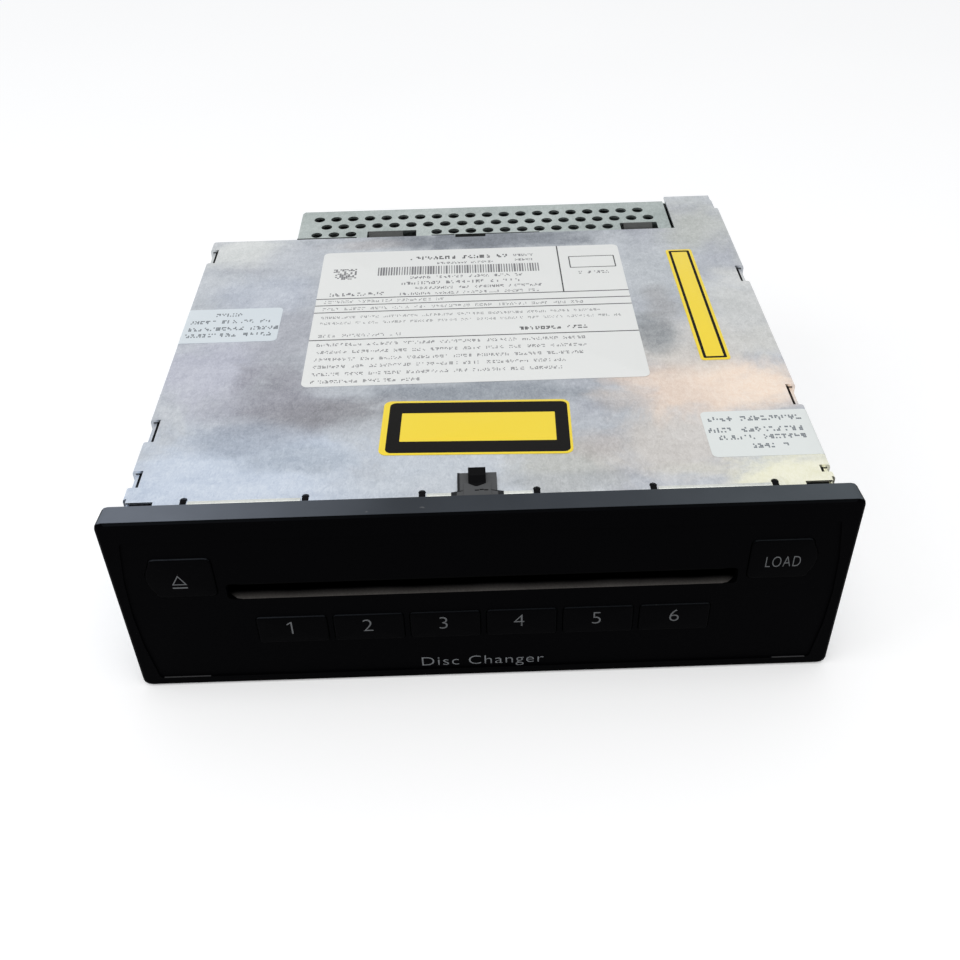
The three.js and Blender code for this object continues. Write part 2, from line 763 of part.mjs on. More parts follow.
// Dampers: grommets on the tray's pins that carry the mechanism frame by its ears
const damper = {
  inset: 7.5,
  fromFrameFront: 7,
  fromFrameRear: 12,
  radius: 4.2,
  waist: 2.9,
  bore: 1.8,
  rise: 3.5,
  pinRadius: 1.5,
  pinRise: 3,
  sides: 8,
};
const damperLipShare = 0.8;
const damperX = bodyHalf - damper.inset;
const damperFrontY = frameFrontY + damper.fromFrameFront;
const damperRearY = frameSideRearY - damper.fromFrameRear;
const damperPlaces = [
  ['front_left', -1, damperFrontY],
  ['front_right', 1, damperFrontY],
  ['rear_left', -1, damperRearY],
  ['rear_right', 1, damperRearY],
];

// Lower tray: floor, side walls with a step at the rear compartment, damper pins and board posts
const trayShape = {
  wallTopGap: 0.3, rearInset: 0.2,
  ventWidth: 2.4, ventLength: 26, ventPitch: 12, ventCount: 5,
};
const ventPlaceShare = 0.5;
const sideHole = { rise: 15, radius: 2.1, sides: 8 };
const sideHoleShares = [0.22, 0.73];
const boardRise = 1.5;
const mainBoard = {
  z: trayFloorTopZ + boardRise,
  sideInset: 16,
  frontInset: 2,
  rearInset: 5.9,
  wallInset: 5,
  stripInset: 4.5,
  postInset: 7,
  postRadius: 2.5,
  postSides: 8,
};
const boardHalf = bodyHalf - mainBoard.sideInset;
const boardFrontY = frameFrontY + mainBoard.frontInset;
const boardStepY = mainRearY - mainBoard.rearInset;
const boardRearY = rearWallY - mainBoard.wallInset;
const boardRearLeftX = rearStripLeftX + mainBoard.stripInset;
const boardRearRightX = bodyHalf - mainBoard.wallInset;
const boardPosts = [
  [mainBoard.postInset - boardHalf, boardFrontY + mainBoard.postInset],
  [boardHalf - mainBoard.postInset, boardFrontY + mainBoard.postInset],
  [mainBoard.postInset - boardHalf, boardStepY - mainBoard.postInset],
  [boardHalf - mainBoard.postInset, boardStepY - mainBoard.postInset],
  [0, (boardFrontY + boardStepY) / 2],
  [boardRearRightX - mainBoard.postInset, boardRearY - mainBoard.postInset],
  [boardRearLeftX + mainBoard.postInset, boardStepY + mainBoard.postInset],
];

function chassisTray() {
  const wallTop = coverUnderZ - trayShape.wallTopGap;
  const rearY = rearWallY - sheet - trayShape.rearInset;
  const profile = channelOutline(trayHalf, bodyBottomZ, 1, wallTop - bodyBottomZ);
  const channel = deepened(profile, trayFrontY, rearY, sheetBendSteps);
  const above = wallTop + overrun;
  const low = bodyBottomZ - overrun;
  const stepY = mainRearY - trayShape.rearInset;
  const tools = [
    block([-trayHalf - overrun, rearStripLeftX + sheet + seatGap], [stepY, rearY + overrun], [low, above]),
  ];
  [-1, 1].forEach((side) => {
    const xs = [side * (trayInnerHalf - overrun), side * (trayHalf + overrun)].sort((p, q) => p - q);
    snapZs.forEach((z) => {
      const tall = [z - movingGap, z + snap.height];
      tools.push(block(xs, [snap.y - movingGap, snap.y + snap.depth + movingGap], tall));
    });
    sideHoleShares.forEach((share) => {
      const place = [trayFrontY + share * (mainRearY - trayFrontY), bodyBottomZ + sideHole.rise];
      tools.push(bar('x', place, xs[0], xs[1], sideHole.radius, sideHole.sides));
    });
  });
  for (let i = 0; i < trayShape.ventCount; i += 1) {
    const x = (i - (trayShape.ventCount - 1) / 2) * trayShape.ventPitch;
    const halfWide = trayShape.ventWidth / 2;
    const halfLong = trayShape.ventLength / 2;
    const y = discCentreY - discRadius * ventPlaceShare;
    const [xs, ys] = [[x - halfWide, x + halfWide], [y - halfLong, y + halfLong]];
    tools.push(block(xs, ys, [low, trayFloorTopZ + overrun]));
  }
  const innerFloor = trayFloorTopZ - seatGap;
  const rearLeftWall = block(
    [-trayInnerHalf - seatGap, rearStripLeftX - seatGap],
    [stepY - sheet, stepY],
    [innerFloor, wallTop],
  );
  const pinTopZ = frameFloorTopZ + damper.pinRise;
  const pins = damperPlaces.map(([, side, y]) => (
    bar('z', [side * damperX, y], innerFloor, pinTopZ, damper.pinRadius, damper.sides)
  ));
  const posts = boardPosts.map((place) => (
    bar('z', place, innerFloor, mainBoard.z - seatGap, mainBoard.postRadius, mainBoard.postSides)
  ));
  return join(cut(channel, ...tools), rearLeftWall, ...pins, ...posts);
}

// Rear cover: perforated top strip tucked under the lid, left cheek and rear wall with socket openings
const perforation = {
  radius: 1.9, pitch: 6, sides: 6, rows: 3,
  rearInset: 7.2, leftInset: 6.8, rightInset: 6, web: 0.8,
};
const leftSlot = { inset: 24.5, width: 17.2, fromLid: 1.8, depth: 4.8, tabInset: 0.4, tabWidth: 12 };
const rightSlot = { inset: 17.5, width: 13, fromLid: 1.7, depth: 5.4, tabInset: 1.3, tabWidth: 10 };
const stripSlotPlaces = [
  [rearStripLeftX + leftSlot.inset, leftSlot],
  [rearStripRightX - rightSlot.inset, rightSlot],
];
const stripSlots = stripSlotPlaces.map(
  ([x, shape]) => ({
    xs: [x, x + shape.width],
    ys: [mainRearY + shape.fromLid, mainRearY + shape.fromLid + shape.depth],
    tabXs: [x + shape.tabInset, x + shape.tabInset + shape.tabWidth],
  }),
);
const strip = { tuck: 5.3, tabDrop: 0.9, wallGap: 0.6 };
const socketZ = mainBoard.z + boardThickness + 2 * seatGap;
const power = { fromLeft: 38.5, halfWidth: 20, height: 13, depth: 15, wall: 1.4, rib: 1.2 };
const video = { fromLeft: 76.5, halfSize: 5, depth: 14, bore: 3.4, boreSides: 12 };
const videoBoreShare = 0.75;
const powerX = rearStripLeftX + power.fromLeft;
const videoX = rearStripLeftX + video.fromLeft;

// Hole places in staggered rows; a hole that would run into a slot is left out
function perforationPlaces() {
  const { pitch, radius, web } = perforation;
  const places = [];
  for (let row = 0; row < perforation.rows; row += 1) {
    const y = rearWallY - perforation.rearInset - row * pitch;
    const firstX = rearStripLeftX + perforation.leftInset + row % 2 * pitch / 2;
    for (let x = firstX; x <= rearStripRightX - perforation.rightInset; x += pitch) {
      const reach = radius + web;
      const clear = stripSlots.every(({ xs, ys }) => (
        x + reach < xs[0] || x - reach > xs[1] || y + reach < ys[0] || y - reach > ys[1]
      ));
      if (clear) places.push([x, y]);
    }
  }
  return places;
}

function rearCover() {
  const stripUnder = stripTopZ - sheet;
  const shape = new THREE.Shape();
  shape.moveTo(rearStripLeftX, mainRearY - strip.tuck);
  shape.lineTo(rearStripRightX, mainRearY - strip.tuck);
  shape.lineTo(rearStripRightX, rearWallY);
  shape.lineTo(rearStripLeftX, rearWallY);
  const { sides, radius } = perforation;
  perforationPlaces().forEach(([x, y]) => {
    shape.holes.push(new THREE.Path(Array.from({ length: sides }, (_, k) => {
      const angle = (2 * k + 1) / sides * Math.PI;
      return new THREE.Vector2(x + radius * Math.cos(angle), y + radius * Math.sin(angle));
    })));
  });
  stripSlots.forEach(({ xs, ys }) => {
    shape.holes.push(new THREE.Path([
      new THREE.Vector2(xs[0], ys[0]),
      new THREE.Vector2(xs[1], ys[0]),
      new THREE.Vector2(xs[1], ys[1]),
      new THREE.Vector2(xs[0], ys[1]),
    ]));
  });
  const top = raised(shape, stripUnder, stripTopZ);
  const wallTop = stripTopZ - sheet / 2;
  const wallXs = [rearStripLeftX, trayInnerHalf - strip.wallGap];
  const wall = block(wallXs, [rearWallY - sheet, rearWallY], [bodyBottomZ, wallTop]);
  const cheek = block(
    [rearStripLeftX, rearStripLeftX + sheet],
    [mainRearY, rearWallY - sheet / 2],
    [bodyBottomZ, wallTop],
  );
  const tabs = stripSlots.map(({ tabXs, ys }) => widened(outline([
    [ys[1] - seatGap, stripUnder + sheet / 2],
    [ys[1] + sheet, stripUnder + sheet / 2],
    [ys[1] + sheet, stripUnder - strip.tabDrop],
    [ys[0] + sheet, stripUnder - strip.tabDrop - sheet],
    [ys[0] + sheet, stripUnder - strip.tabDrop],
    [ys[1] - seatGap, stripUnder],
  ]), tabXs[0], tabXs[1]));
  const across = [rearWallY - sheet - overrun, rearWallY + overrun];
  const powerHole = block(
    [powerX - power.halfWidth - movingGap, powerX + power.halfWidth + movingGap],
    across,
    [socketZ - movingGap, socketZ + power.height + movingGap],
  );
  const videoHole = block(
    [videoX - video.halfSize - movingGap, videoX + video.halfSize + movingGap],
    across,
    [socketZ - movingGap, socketZ + 2 * video.halfSize + movingGap],
  );
  return cut(join(top, wall, cheek, ...tabs), powerHole, videoHole);
}

// Sockets on the main board, their mouths flush with the rear wall
function powerSocket() {
  const xs = [powerX - power.halfWidth, powerX + power.halfWidth];
  const body = block(xs, [rearWallY - power.depth, rearWallY], [socketZ, socketZ + power.height]);
  const floorY = rearWallY - power.depth + 3 * power.wall;
  const mouthHalf = (power.halfWidth - 1.5 * power.wall) / 2;
  const mouths = [-1, 1].map((side) => {
    const middle = powerX + side * (mouthHalf + power.wall / 2);
    return block(
      [middle - mouthHalf, middle + mouthHalf],
      [floorY, rearWallY + overrun],
      [socketZ + power.wall, socketZ + power.height - power.wall],
    );
  });
  const keyway = block(
    [powerX - power.rib, powerX + power.rib],
    [floorY, rearWallY + overrun],
    [socketZ + power.height - power.wall - power.rib, socketZ + power.height - power.wall],
  );
  return cut(body, ...mouths, keyway);
}

function videoSocket() {
  const centreZ = socketZ + video.halfSize;
  const body = block(
    [videoX - video.halfSize, videoX + video.halfSize],
    [rearWallY - video.depth, rearWallY],
    [socketZ, socketZ + 2 * video.halfSize],
  );
  const floorY = rearWallY - video.depth * videoBoreShare;
  const bore = bar('y', [videoX, centreZ], floorY, rearWallY + overrun, video.bore, video.boreSides);
  return cut(body, bore);
}

// Circuit boards
const processor = { wide: 20, long: 20, tall: 2 };
const memory = { wide: 14, long: 14, tall: 1.6 };
const driver = { wide: 10, long: 16, tall: 1.4 };
const coil = { wide: 10, long: 9, tall: 3 };

// Where each part stands, as shares of the board's half width and of its depth in front of the step
const chipShares = [
  [-0.55, 0.18, memory],
  [-0.14, 0.28, processor],
  [0.41, 0.15, driver],
  [0.6, 0.42, coil],
  [-0.71, 0.53, driver],
  [0.27, 0.66, memory],
  [-0.33, 0.8, memory],
  [0.68, 0.79, coil],
];

function mainBoardSolid() {
  const { z } = mainBoard;
  const plate = raised(outline([
    [-boardHalf, boardFrontY],
    [boardHalf, boardFrontY],
    [boardHalf, boardStepY],
    [boardRearRightX, boardStepY],
    [boardRearRightX, boardRearY],
    [boardRearLeftX, boardRearY],
    [boardRearLeftX, boardStepY],
    [-boardHalf, boardStepY],
  ]), z, z + boardThickness);
  const top = z + boardThickness;
  const parts = chipShares.map(([across, along, { wide, long, tall }]) => {
    const x = across * boardHalf;
    const y = boardFrontY + along * (boardStepY - boardFrontY);
    return block([x - wide / 2, x + wide / 2], [y - long / 2, y + long / 2], [top - seatGap, top + tall]);
  });
  return join(plate, ...parts);
}

const frontBoardShape = { sideInset: 5, bottomRise: 2.8, topInset: 6.2, slotMargin: 2, underSlot: 5 };
const frontBoardHalf = bodyHalf - frontBoardShape.sideInset;
const frontBoardBottomZ = trayFloorTopZ + frontBoardShape.bottomRise;
const frontBoardTopZ = coverUnderZ - frontBoardShape.topInset;

function frontBoard() {
  const slotHalf = slotWidth / 2 + frontBoardShape.slotMargin;
  const slotZ = slotCentreZ - frontBoardShape.underSlot;
  const plate = deepened(outline([
    [-frontBoardHalf, frontBoardBottomZ],
    [frontBoardHalf, frontBoardBottomZ],
    [frontBoardHalf, frontBoardTopZ],
    [slotHalf, frontBoardTopZ],
    [slotHalf, slotZ],
    [-slotHalf, slotZ],
    [-slotHalf, frontBoardTopZ],
    [-frontBoardHalf, frontBoardTopZ],
  ]), frontBoardY, frontBoardY + boardThickness);
  const centres = [-1, 1].map((side) => [
    side * (wideKeyInnerX + wideKeyOuterX) / 2,
    (wideKeyBottomZ + wideKeyTopZ) / 2,
  ]);
  for (let i = 0; i < keyCount; i += 1) centres.push([numberKeyX(i), keyCentreZ]);
  const half = keySwitch.size / 2;
  const bodyY = frontBoardY - keySwitch.height;
  const switches = centres.flatMap(([x, z]) => [
    block([x - half, x + half], [bodyY, frontBoardY + seatGap], [z - half, z + half]),
    bar('y', [x, z], plungerY, bodyY + seatGap, keySwitch.plungerRadius, keySwitch.plungerSides),
  ]);
  return join(plate, ...switches);
}

// Loading drive places, in the Y-Z plane beside the frame's left wall
const idlerDirection = Math.PI / 9;
const motorDirection = -Math.PI / 12;
const rollerToIdler = (rollerTeeth + idlerTeeth) * gearModule / 2;
const idlerToMotor = (idlerTeeth + motorTeeth) * gearModule / 2;
const idlerY = rollerY + rollerToIdler * Math.cos(idlerDirection);
const idlerZ = rollerZ + rollerToIdler * Math.sin(idlerDirection);
const loadingMotorY = idlerY + idlerToMotor * Math.cos(motorDirection);
const loadingMotorZ = idlerZ + idlerToMotor * Math.sin(motorDirection);
const gearInnerX = -frameHalfWidth - movingGap;
const gearOuterX = gearInnerX - gearWidth;
const rollerPhase = idlerDirection;
const idlerPhase = meshPhase(rollerTeeth, rollerPhase, idlerTeeth, idlerDirection);
const pinionPhase = meshPhase(idlerTeeth, idlerPhase, motorTeeth, motorDirection);

const bush = { outer: 2.2, flange: 3, flangeWidth: 0.8 };
const idlerStud = 1.5;
const motorPost = { radius: 1.1, reach: 7.6, sides: 6, angles: [0, Math.PI / 2, -Math.PI / 2] };
const loadingMotorShape = { radius: 8.8, length: 6.6, shaft: 0.8, sides: 14 };
const canShoulderShares = { radius: 0.9, height: 0.875, cavity: 0.6 };
const pinchGuide = {
  rise: 2.4,
  thickness: 1.6,
  ribHeight: 1.2,
  beforeRoller: 4,
  behindRoller: 3.7,
  sideInset: 4,
  tabHalf: 1.8,
  travel: 3.3,
};
const pinchBottomZ = slotCentreZ + pinchGuide.rise;
const pinchTabYs = [rollerY - pinchGuide.tabHalf, rollerY + pinchGuide.tabHalf];
const topRimWidth = 5;
const pivotPost = { radius: 3, shoulder: 4.4, shoulderRise: 1.4, topDrop: 0.4, sides: 16 };
const pivotShoulderZ = playGapBottomZ + pivotPost.shoulderRise;
const pivotTopZ = playGapTopZ - pivotPost.topDrop;
const floorHoleInset = 16;
const frameRear = { leftOfPivot: 12, rightOfPivot: 10, behindPivot: 9 };
const columnPlaces = [
  ['front_right', 1, columnFrontY],
  ['rear_left', -1, columnRearY],
];
const postPlaces = [
  ['front_left', -1, columnFrontY],
  ['rear_right', 1, columnRearY],
];
const guidePost = { radius: 2.4, sides: 14 };

// Mechanism frame: sheet floor with a large round opening, side walls, damper ears, studs and the arm's post
function mechanismFrame() {
  const rearXs = [pivotX - frameRear.leftOfPivot, pivotX + frameRear.rightOfPivot];
  const rearY = pivotY + frameRear.behindPivot;
  const floorShape = outline([
    [-frameHalfWidth, frameFrontY],
    [frameHalfWidth, frameFrontY],
    [frameHalfWidth, frameSideRearY],
    [rearXs[1], frameSideRearY],
    [rearXs[1], rearY],
    [rearXs[0], rearY],
    [rearXs[0], frameSideRearY],
    [-frameHalfWidth, frameSideRearY],
  ]);
  floorShape.holes.push(circlePath(0, discCentreY, discRadius - floorHoleInset));
  [...columnPlaces, ...postPlaces].forEach(([, side, y]) => {
    floorShape.holes.push(circlePath(side * columnX, y, journalRadius + runningGap));
  });
  const floor = raised(floorShape, frameFloorZ, frameFloorTopZ, frameCurveSteps);
  const walls = [-1, 1].map((side) => {
    const xs = [side * frameInnerHalf, side * frameHalfWidth].sort((p, q) => p - q);
    const rim = [side * (frameInnerHalf - topRimWidth), side * frameHalfWidth].sort((p, q) => p - q);
    const wall = block(xs, [frameFrontY, frameSideRearY], [frameFloorTopZ - seatGap, frameTopZ]);
    const topRim = block(rim, [columnFrontY + 2 * columnRadius, columnRearY - 2 * columnRadius],
      [frameTopZ - frameSheet, frameTopZ]);
    const window = block(
      [xs[0] - overrun, xs[1] + overrun],
      [pinchTabYs[0] - movingGap, pinchTabYs[1] + movingGap],
      [pinchBottomZ - pinchGuide.travel - movingGap, pinchBottomZ + pinchGuide.thickness + movingGap],
    );
    const bushHole = bar('x', [rollerY, rollerZ], xs[0] - overrun, xs[1] + overrun, bush.outer + seatGap);
    return cut(join(wall, topRim), window, bushHole);
  });
  const ears = damperPlaces.map(([, side, y]) => {
    const outer = damperX + damper.radius;
    const xs = [side * (frameHalfWidth - overrun), side * outer].sort((p, q) => p - q);
    const ear = block(xs, [y - damper.radius, y + damper.radius], [frameFloorZ, frameFloorTopZ]);
    const hole = bar('z', [side * damperX, y], frameFloorZ - overrun, frameFloorTopZ + overrun,
      damper.waist + seatGap, damper.sides);
    return cut(ear, hole);
  });
  const stud = bar('x', [idlerY, idlerZ], gearOuterX - movingGap, -frameHalfWidth + seatGap, idlerStud);
  const posts = motorPost.angles.map((angle) => bar(
    'x',
    [loadingMotorY + motorPost.reach * Math.cos(angle), loadingMotorZ + motorPost.reach * Math.sin(angle)],
    gearOuterX - movingGap + seatGap,
    -frameHalfWidth + seatGap,
    motorPost.radius,
    motorPost.sides,
  ));
  const pivot = turned([
    [0, frameFloorTopZ - seatGap],
    [pivotPost.shoulder, frameFloorTopZ - seatGap],
    [pivotPost.shoulder, pivotShoulderZ],
    [pivotPost.radius, pivotShoulderZ],
    [pivotPost.radius, pivotTopZ],
    [0, pivotTopZ],
  ], pivotX, pivotY, pivotPost.sides);
  return join(floor, ...walls, ...ears, stud, ...posts, pivot);
}

// Top plate of the mechanism, with a round opening over the discs and the columns' upper bearings
const topPlate = { frontInset: 10, openingInset: 6 };

function frameTopPlate() {
  const shape = outline([
    [-frameHalfWidth, frameFrontY + topPlate.frontInset],
    [frameHalfWidth, frameFrontY + topPlate.frontInset],
    [frameHalfWidth, frameSideRearY],
    [-frameHalfWidth, frameSideRearY],
  ]);
  shape.holes.push(circlePath(0, discCentreY, discRadius - topPlate.openingInset));
  [...columnPlaces, ...postPlaces].forEach(([, side, y]) => {
    shape.holes.push(circlePath(side * columnX, y, journalRadius + runningGap));
  });
  const base = frameTopZ + seatGap;
  return raised(shape, base, base + frameSheet, frameCurveSteps);
}

function damperSolid(side, y) {
  const floor = trayFloorTopZ + seatGap;
  const earLow = frameFloorZ - seatGap;
  const earHigh = frameFloorTopZ + seatGap;
  return turned([
    [damper.bore, floor],
    [damper.radius, floor],
    [damper.radius, earLow],
    [damper.waist, earLow],
    [damper.waist, earHigh],
    [damper.radius, earHigh],
    [damper.radius * damperLipShare, frameFloorTopZ + damper.rise],
    [damper.bore, frameFloorTopZ + damper.rise],
    [damper.bore, floor],
  ], side * damperX, y, damper.sides);
}

// Loading roller: rubber on a steel shaft, slightly thinner in the middle so that a disc centres itself
const rollerShape = { endInset: 2, waistHalf: 20, sides: 14 };
const rollerWaistShare = 0.86;

function loadingRoller() {
  const { waistHalf, sides } = rollerShape;
  const halfLength = slotWidth / 2 - rollerShape.endInset;
  const waist = rollerRadius * rollerWaistShare;
  const bore = rollerShaftRadius + seatGap;
  return turnedAlongX([
    [bore, -halfLength],
    [rollerRadius, -halfLength],
    [waist, -waistHalf],
    [waist, waistHalf],
    [rollerRadius, halfLength],
    [bore, halfLength],
    [bore, -halfLength],
  ], rollerY, rollerZ, sides);
}

function rollerBush(side) {
  const inner = frameInnerHalf - bush.flangeWidth - seatGap;
  const profile = [
    [rollerShaftRadius + runningGap, inner],
    [bush.flange, inner],
    [bush.flange, frameInnerHalf - seatGap],
    [bush.outer, frameInnerHalf - seatGap],
    [bush.outer, frameHalfWidth],
    [rollerShaftRadius + runningGap, frameHalfWidth],
    [rollerShaftRadius + runningGap, inner],
  ];
  return turnedAlongX(profile.map(([radius, x]) => [radius, side * x]), rollerY, rollerZ);
}

function gearAlongX(teeth, phase, bore, y, z) {
  return widened(gearOutline(teeth, phase, bore), gearOuterX, gearInnerX, gearCurveSteps).translate([0, y, z]);
}

function motorAlongX() {
  const face = gearOuterX - movingGap;
  const { radius, length, shaft, sides } = loadingMotorShape;
  return turnedAlongX([
    [shaft + runningGap, face],
    [radius, face],
    [radius, face - length * canShoulderShares.height],
    [radius * canShoulderShares.radius, face - length],
    [0, face - length],
    [0, face - length * canShoulderShares.cavity],
    [shaft + runningGap, face - length * canShoulderShares.cavity],
    [shaft + runningGap, face],
  ], loadingMotorY, loadingMotorZ, sides);
}

function loadingPinion() {
  const teeth = gearAlongX(motorTeeth, pinionPhase, 0, loadingMotorY, loadingMotorZ);
  const shaftEnds = [gearOuterX - movingGap - loadingMotorShape.length / 2, gearOuterX + gearWidth / 2];
  const shaft = bar('x', [loadingMotorY, loadingMotorZ], ...shaftEnds, loadingMotorShape.shaft);
  return join(teeth, shaft);
}

// Pinch guide above the roller: a ribbed bar whose tabs slide in the frame's windows
function pinchGuideSolid() {
  const { thickness, ribHeight } = pinchGuide;
  const bottomZ = pinchBottomZ;
  const frontY = rollerY - pinchGuide.beforeRoller;
  const rearY = rollerY + pinchGuide.behindRoller;
  const halfWidth = frameHalfWidth - pinchGuide.sideInset;
  const top = bottomZ + thickness;
  const section = outline([
    [frontY, bottomZ + thickness / 2],
    [frontY + thickness, bottomZ],
    [rearY - thickness, bottomZ],
    [rearY, bottomZ + thickness / 2],
    [rearY, top],
    [frontY, top],
  ]);
  const body = widened(section, -halfWidth, halfWidth);
  const tabReach = frameHalfWidth - seatGap;
  const tabs = block([-tabReach, tabReach], pinchTabYs, [bottomZ + seatGap, top]);
  const ribs = [frontY, (frontY + rearY - thickness) / 2, rearY - thickness].map((y) => (
    block([-halfWidth, halfWidth], [y, y + thickness / 2], [top - seatGap, top + ribHeight])
  ));
  return join(body, tabs, ...ribs);
}

// Disc holders: open rings with a lug and a pin at each column
const holder = {
  underDisc: 3.5,
  rim: 2.3,
  lipInset: 1,
  mouthInset: 22,
  lugHalf: 4.8,
  lugEnd: 3.8,
  columnGap: 0.7,
  pinHalf: 0.4,
  pinHeight: 0.7,
  steps: 8,
  wellSides: 8,
};
const holderInner = discRadius - holder.underDisc;
const holderOuter = discRadius + holder.rim;
const groove = { depth: 1.3, height: 1.5, overshoot: Math.PI / 10, steps: 5 };

function holderMiddleZ(index) {
  const lower = index < holdersPerGroup;
  const stepIndex = lower ? holdersPerGroup - 1 - index : index - holdersPerGroup;
  const nearest = lower ? playGapBottomZ - holderThickness / 2 : playGapTopZ + holderThickness / 2;
  return nearest + (lower ? -1 : 1) * stepIndex * holderPitch;
}

const pinDirection = (side, y) => Math.atan2(discCentreY - y, -side * columnX);

function discHolder(index) {
  const middle = holderMiddleZ(index);
  const low = middle - holderThickness / 2;
  const high = middle + holderThickness / 2;
  const ring = new THREE.Shape();
  ring.absarc(0, 0, holderOuter, 0, 2 * Math.PI);
  ring.holes.push(circlePath(0, 0, holderInner));
  const plate = raised(ring, low, high, holder.steps).translate([0, discCentreY, 0]);
  const mouthHalf = discRadius - holder.mouthInset;
  const mouth = block(
    [-mouthHalf, mouthHalf],
    [discCentreY - holderOuter - overrun, discCentreY],
    [low - overrun, high + overrun],
  );
  const lugs = [];
  const wells = [];
  const pins = [];
  [...columnPlaces, ...postPlaces].forEach(([, side, y]) => {
    const turn = pinDirection(side, y) * 180 / Math.PI;
    const distance = Math.hypot(columnX, discCentreY - y);
    const ys = [-holder.lugHalf, holder.lugHalf];
    const lug = block([-holder.lugEnd, distance - holderInner], ys, [low, high]);
    lugs.push(lug.rotate([0, 0, turn]).translate([side * columnX, y, 0]));
  });
  postPlaces.forEach(([, side, y]) => {
    const turn = pinDirection(side, y) * 180 / Math.PI;
    const half = guidePost.radius + movingGap;
    const notch = block([-holder.lugEnd - overrun, half], [-half, half], [low - overrun, high + overrun]);
    wells.push(notch.rotate([0, 0, turn]).translate([side * columnX, y, 0]));
  });
  columnPlaces.forEach(([, side, y]) => {
    const turn = pinDirection(side, y) * 180 / Math.PI;
    const wellRadius = columnRadius + holder.columnGap;
    const well = bar('z', [0, 0], low - overrun, high + overrun, wellRadius, holder.wellSides);
    const clear = block([-columnRadius * 2, 0], [-holder.lugHalf - overrun, holder.lugHalf + overrun],
      [low - overrun, high + overrun]);
    wells.push(join(well, clear).rotate([0, 0, turn]).translate([side * columnX, y, 0]));
    const pin = block(
      [columnRadius - groove.depth + movingGap, columnRadius + holder.lugHalf / 2],
      [-holder.pinHalf, holder.pinHalf],
      [middle - holder.pinHeight / 2, middle + holder.pinHeight / 2],
    );
    pins.push(pin.rotate([0, 0, turn]).translate([side * columnX, y, 0]));
  });
  const hollowRadius = holderInner + holder.lipInset;
  const hollow = bar('z', [0, discCentreY], low - overrun, high + overrun, hollowRadius, 2 * holder.steps);
  const body = cut(join(plate, ...lugs.map((lug) => cut(lug, hollow))), mouth, ...wells);
  return join(body, ...pins);
}

// Elevator columns: cam cylinders with six helical grooves of half a turn, a gear foot and two journals
const columnTopGap = 0.6;
const columnSides = 8;

// One groove, drawn about the column's own middle with the pin's direction at angle zero
function helicalGroove(side, startZ, travel) {
  const turnSign = -side;
  const from = -groove.overshoot;
  const to = Math.PI + groove.overshoot;
  const inner = columnRadius - groove.depth;
  const outer = columnRadius + overrun;
  const half = groove.height / 2;
  const rings = Array.from({ length: groove.steps + 1 }, (_, k) => {
    const turn = from + (to - from) * k / groove.steps;
    const angle = turnSign * turn;
    const z = startZ + travel * turn / Math.PI;
    const [across, along] = [Math.cos(angle), Math.sin(angle)];
    const at = (radius, height) => new THREE.Vector3(radius * across, radius * along, height);
    return [at(inner, z - half), at(outer, z - half), at(outer, z + half), at(inner, z + half)];
  });
  return skinned(rings);
}

function elevatorColumn(side, y) {
  const toRack = side < 0 ? 0 : Math.PI;
  const toPin = pinDirection(side, y) * 180 / Math.PI;
  const halfFacet = 180 / columnSides;
  const gearTop = elevatorZ + elevatorHeight;
  const wheel = raised(gearOutline(columnTeeth, toRack, 0), elevatorZ, gearTop);
  const foot = wheel.translate([side * columnX, y, 0]);
  const body = turned([
    [0, frameFloorZ],
    [journalRadius, frameFloorZ],
    [journalRadius, gearTop - seatGap],
    [columnRadius, gearTop - seatGap],
    [columnRadius, frameTopZ - columnTopGap],
    [journalRadius, frameTopZ - columnTopGap],
    [journalRadius, frameTopZ + frameSheet + seatGap],
    [0, frameTopZ + frameSheet + seatGap],
  ], 0, 0, columnSides).rotate([0, 0, halfFacet]);
  const grooves = Array.from({ length: 2 * holdersPerGroup }, (_, index) => {
    const travel = index < holdersPerGroup ? groupTravel : -groupTravel;
    return helicalGroove(side, holderMiddleZ(index), travel);
  });
  return join(cut(body, ...grooves).rotate([0, 0, toPin]).translate([side * columnX, y, 0]), foot);
}

// Elevator slide: two rails with rack teeth for the columns and the motor pinion, joined by a front bar
const slide = { railWidth: 4.8, barLead: 0.5, barDepth: 6 };
const slideTravel = Math.PI * columnPitchRadius;
const toothTrail = slideTravel + leadTeeth * toothPitch;
const rackPlaces = { '-1': [columnRearY], '1': [columnFrontY] };
const railOuterX = columnX - columnPitchRadius;
const railInnerX = railOuterX - slide.railWidth;
const elevatorPinionX = railInnerX - columnPitchRadius;

function elevatorSlide() {
  const rootDepth = dedendumShare * gearModule;
  const z0 = elevatorZ;
  const z1 = elevatorZ + elevatorHeight;
  const rails = [-1, 1].flatMap((side) => {
    const rearY = (side > 0 ? elevatorMotorY : columnRearY) + toothTrail + toothPitch / 2;
    const innerRoot = side > 0 ? rootDepth : 0;
    const xs = [side * (railInnerX + innerRoot), side * (railOuterX - rootDepth)].sort((p, q) => p - q);
    const frontY = columnFrontY - leadTeeth * toothPitch - toothPitch / 2;
    const rail = block(xs, [frontY, rearY], [z0, z1]);
    const racks = rackPlaces[side].flatMap((y) => (
      rackTeeth(side * railOuterX, side, y, toothTrail, z0, z1)
    ));
    return [rail, ...racks];
  });
  const motorRack = rackTeeth(railInnerX, -1, elevatorMotorY, toothTrail, z0, z1);
  const bridgeXs = [-railInnerX - rootDepth, railInnerX + 2 * rootDepth];
  const bridgeFrontY = columnFrontY - slide.barLead;
  const bridge = block(bridgeXs, [bridgeFrontY, bridgeFrontY + slide.barDepth], [z0, z1]);
  return join(...rails, ...motorRack, bridge);
}

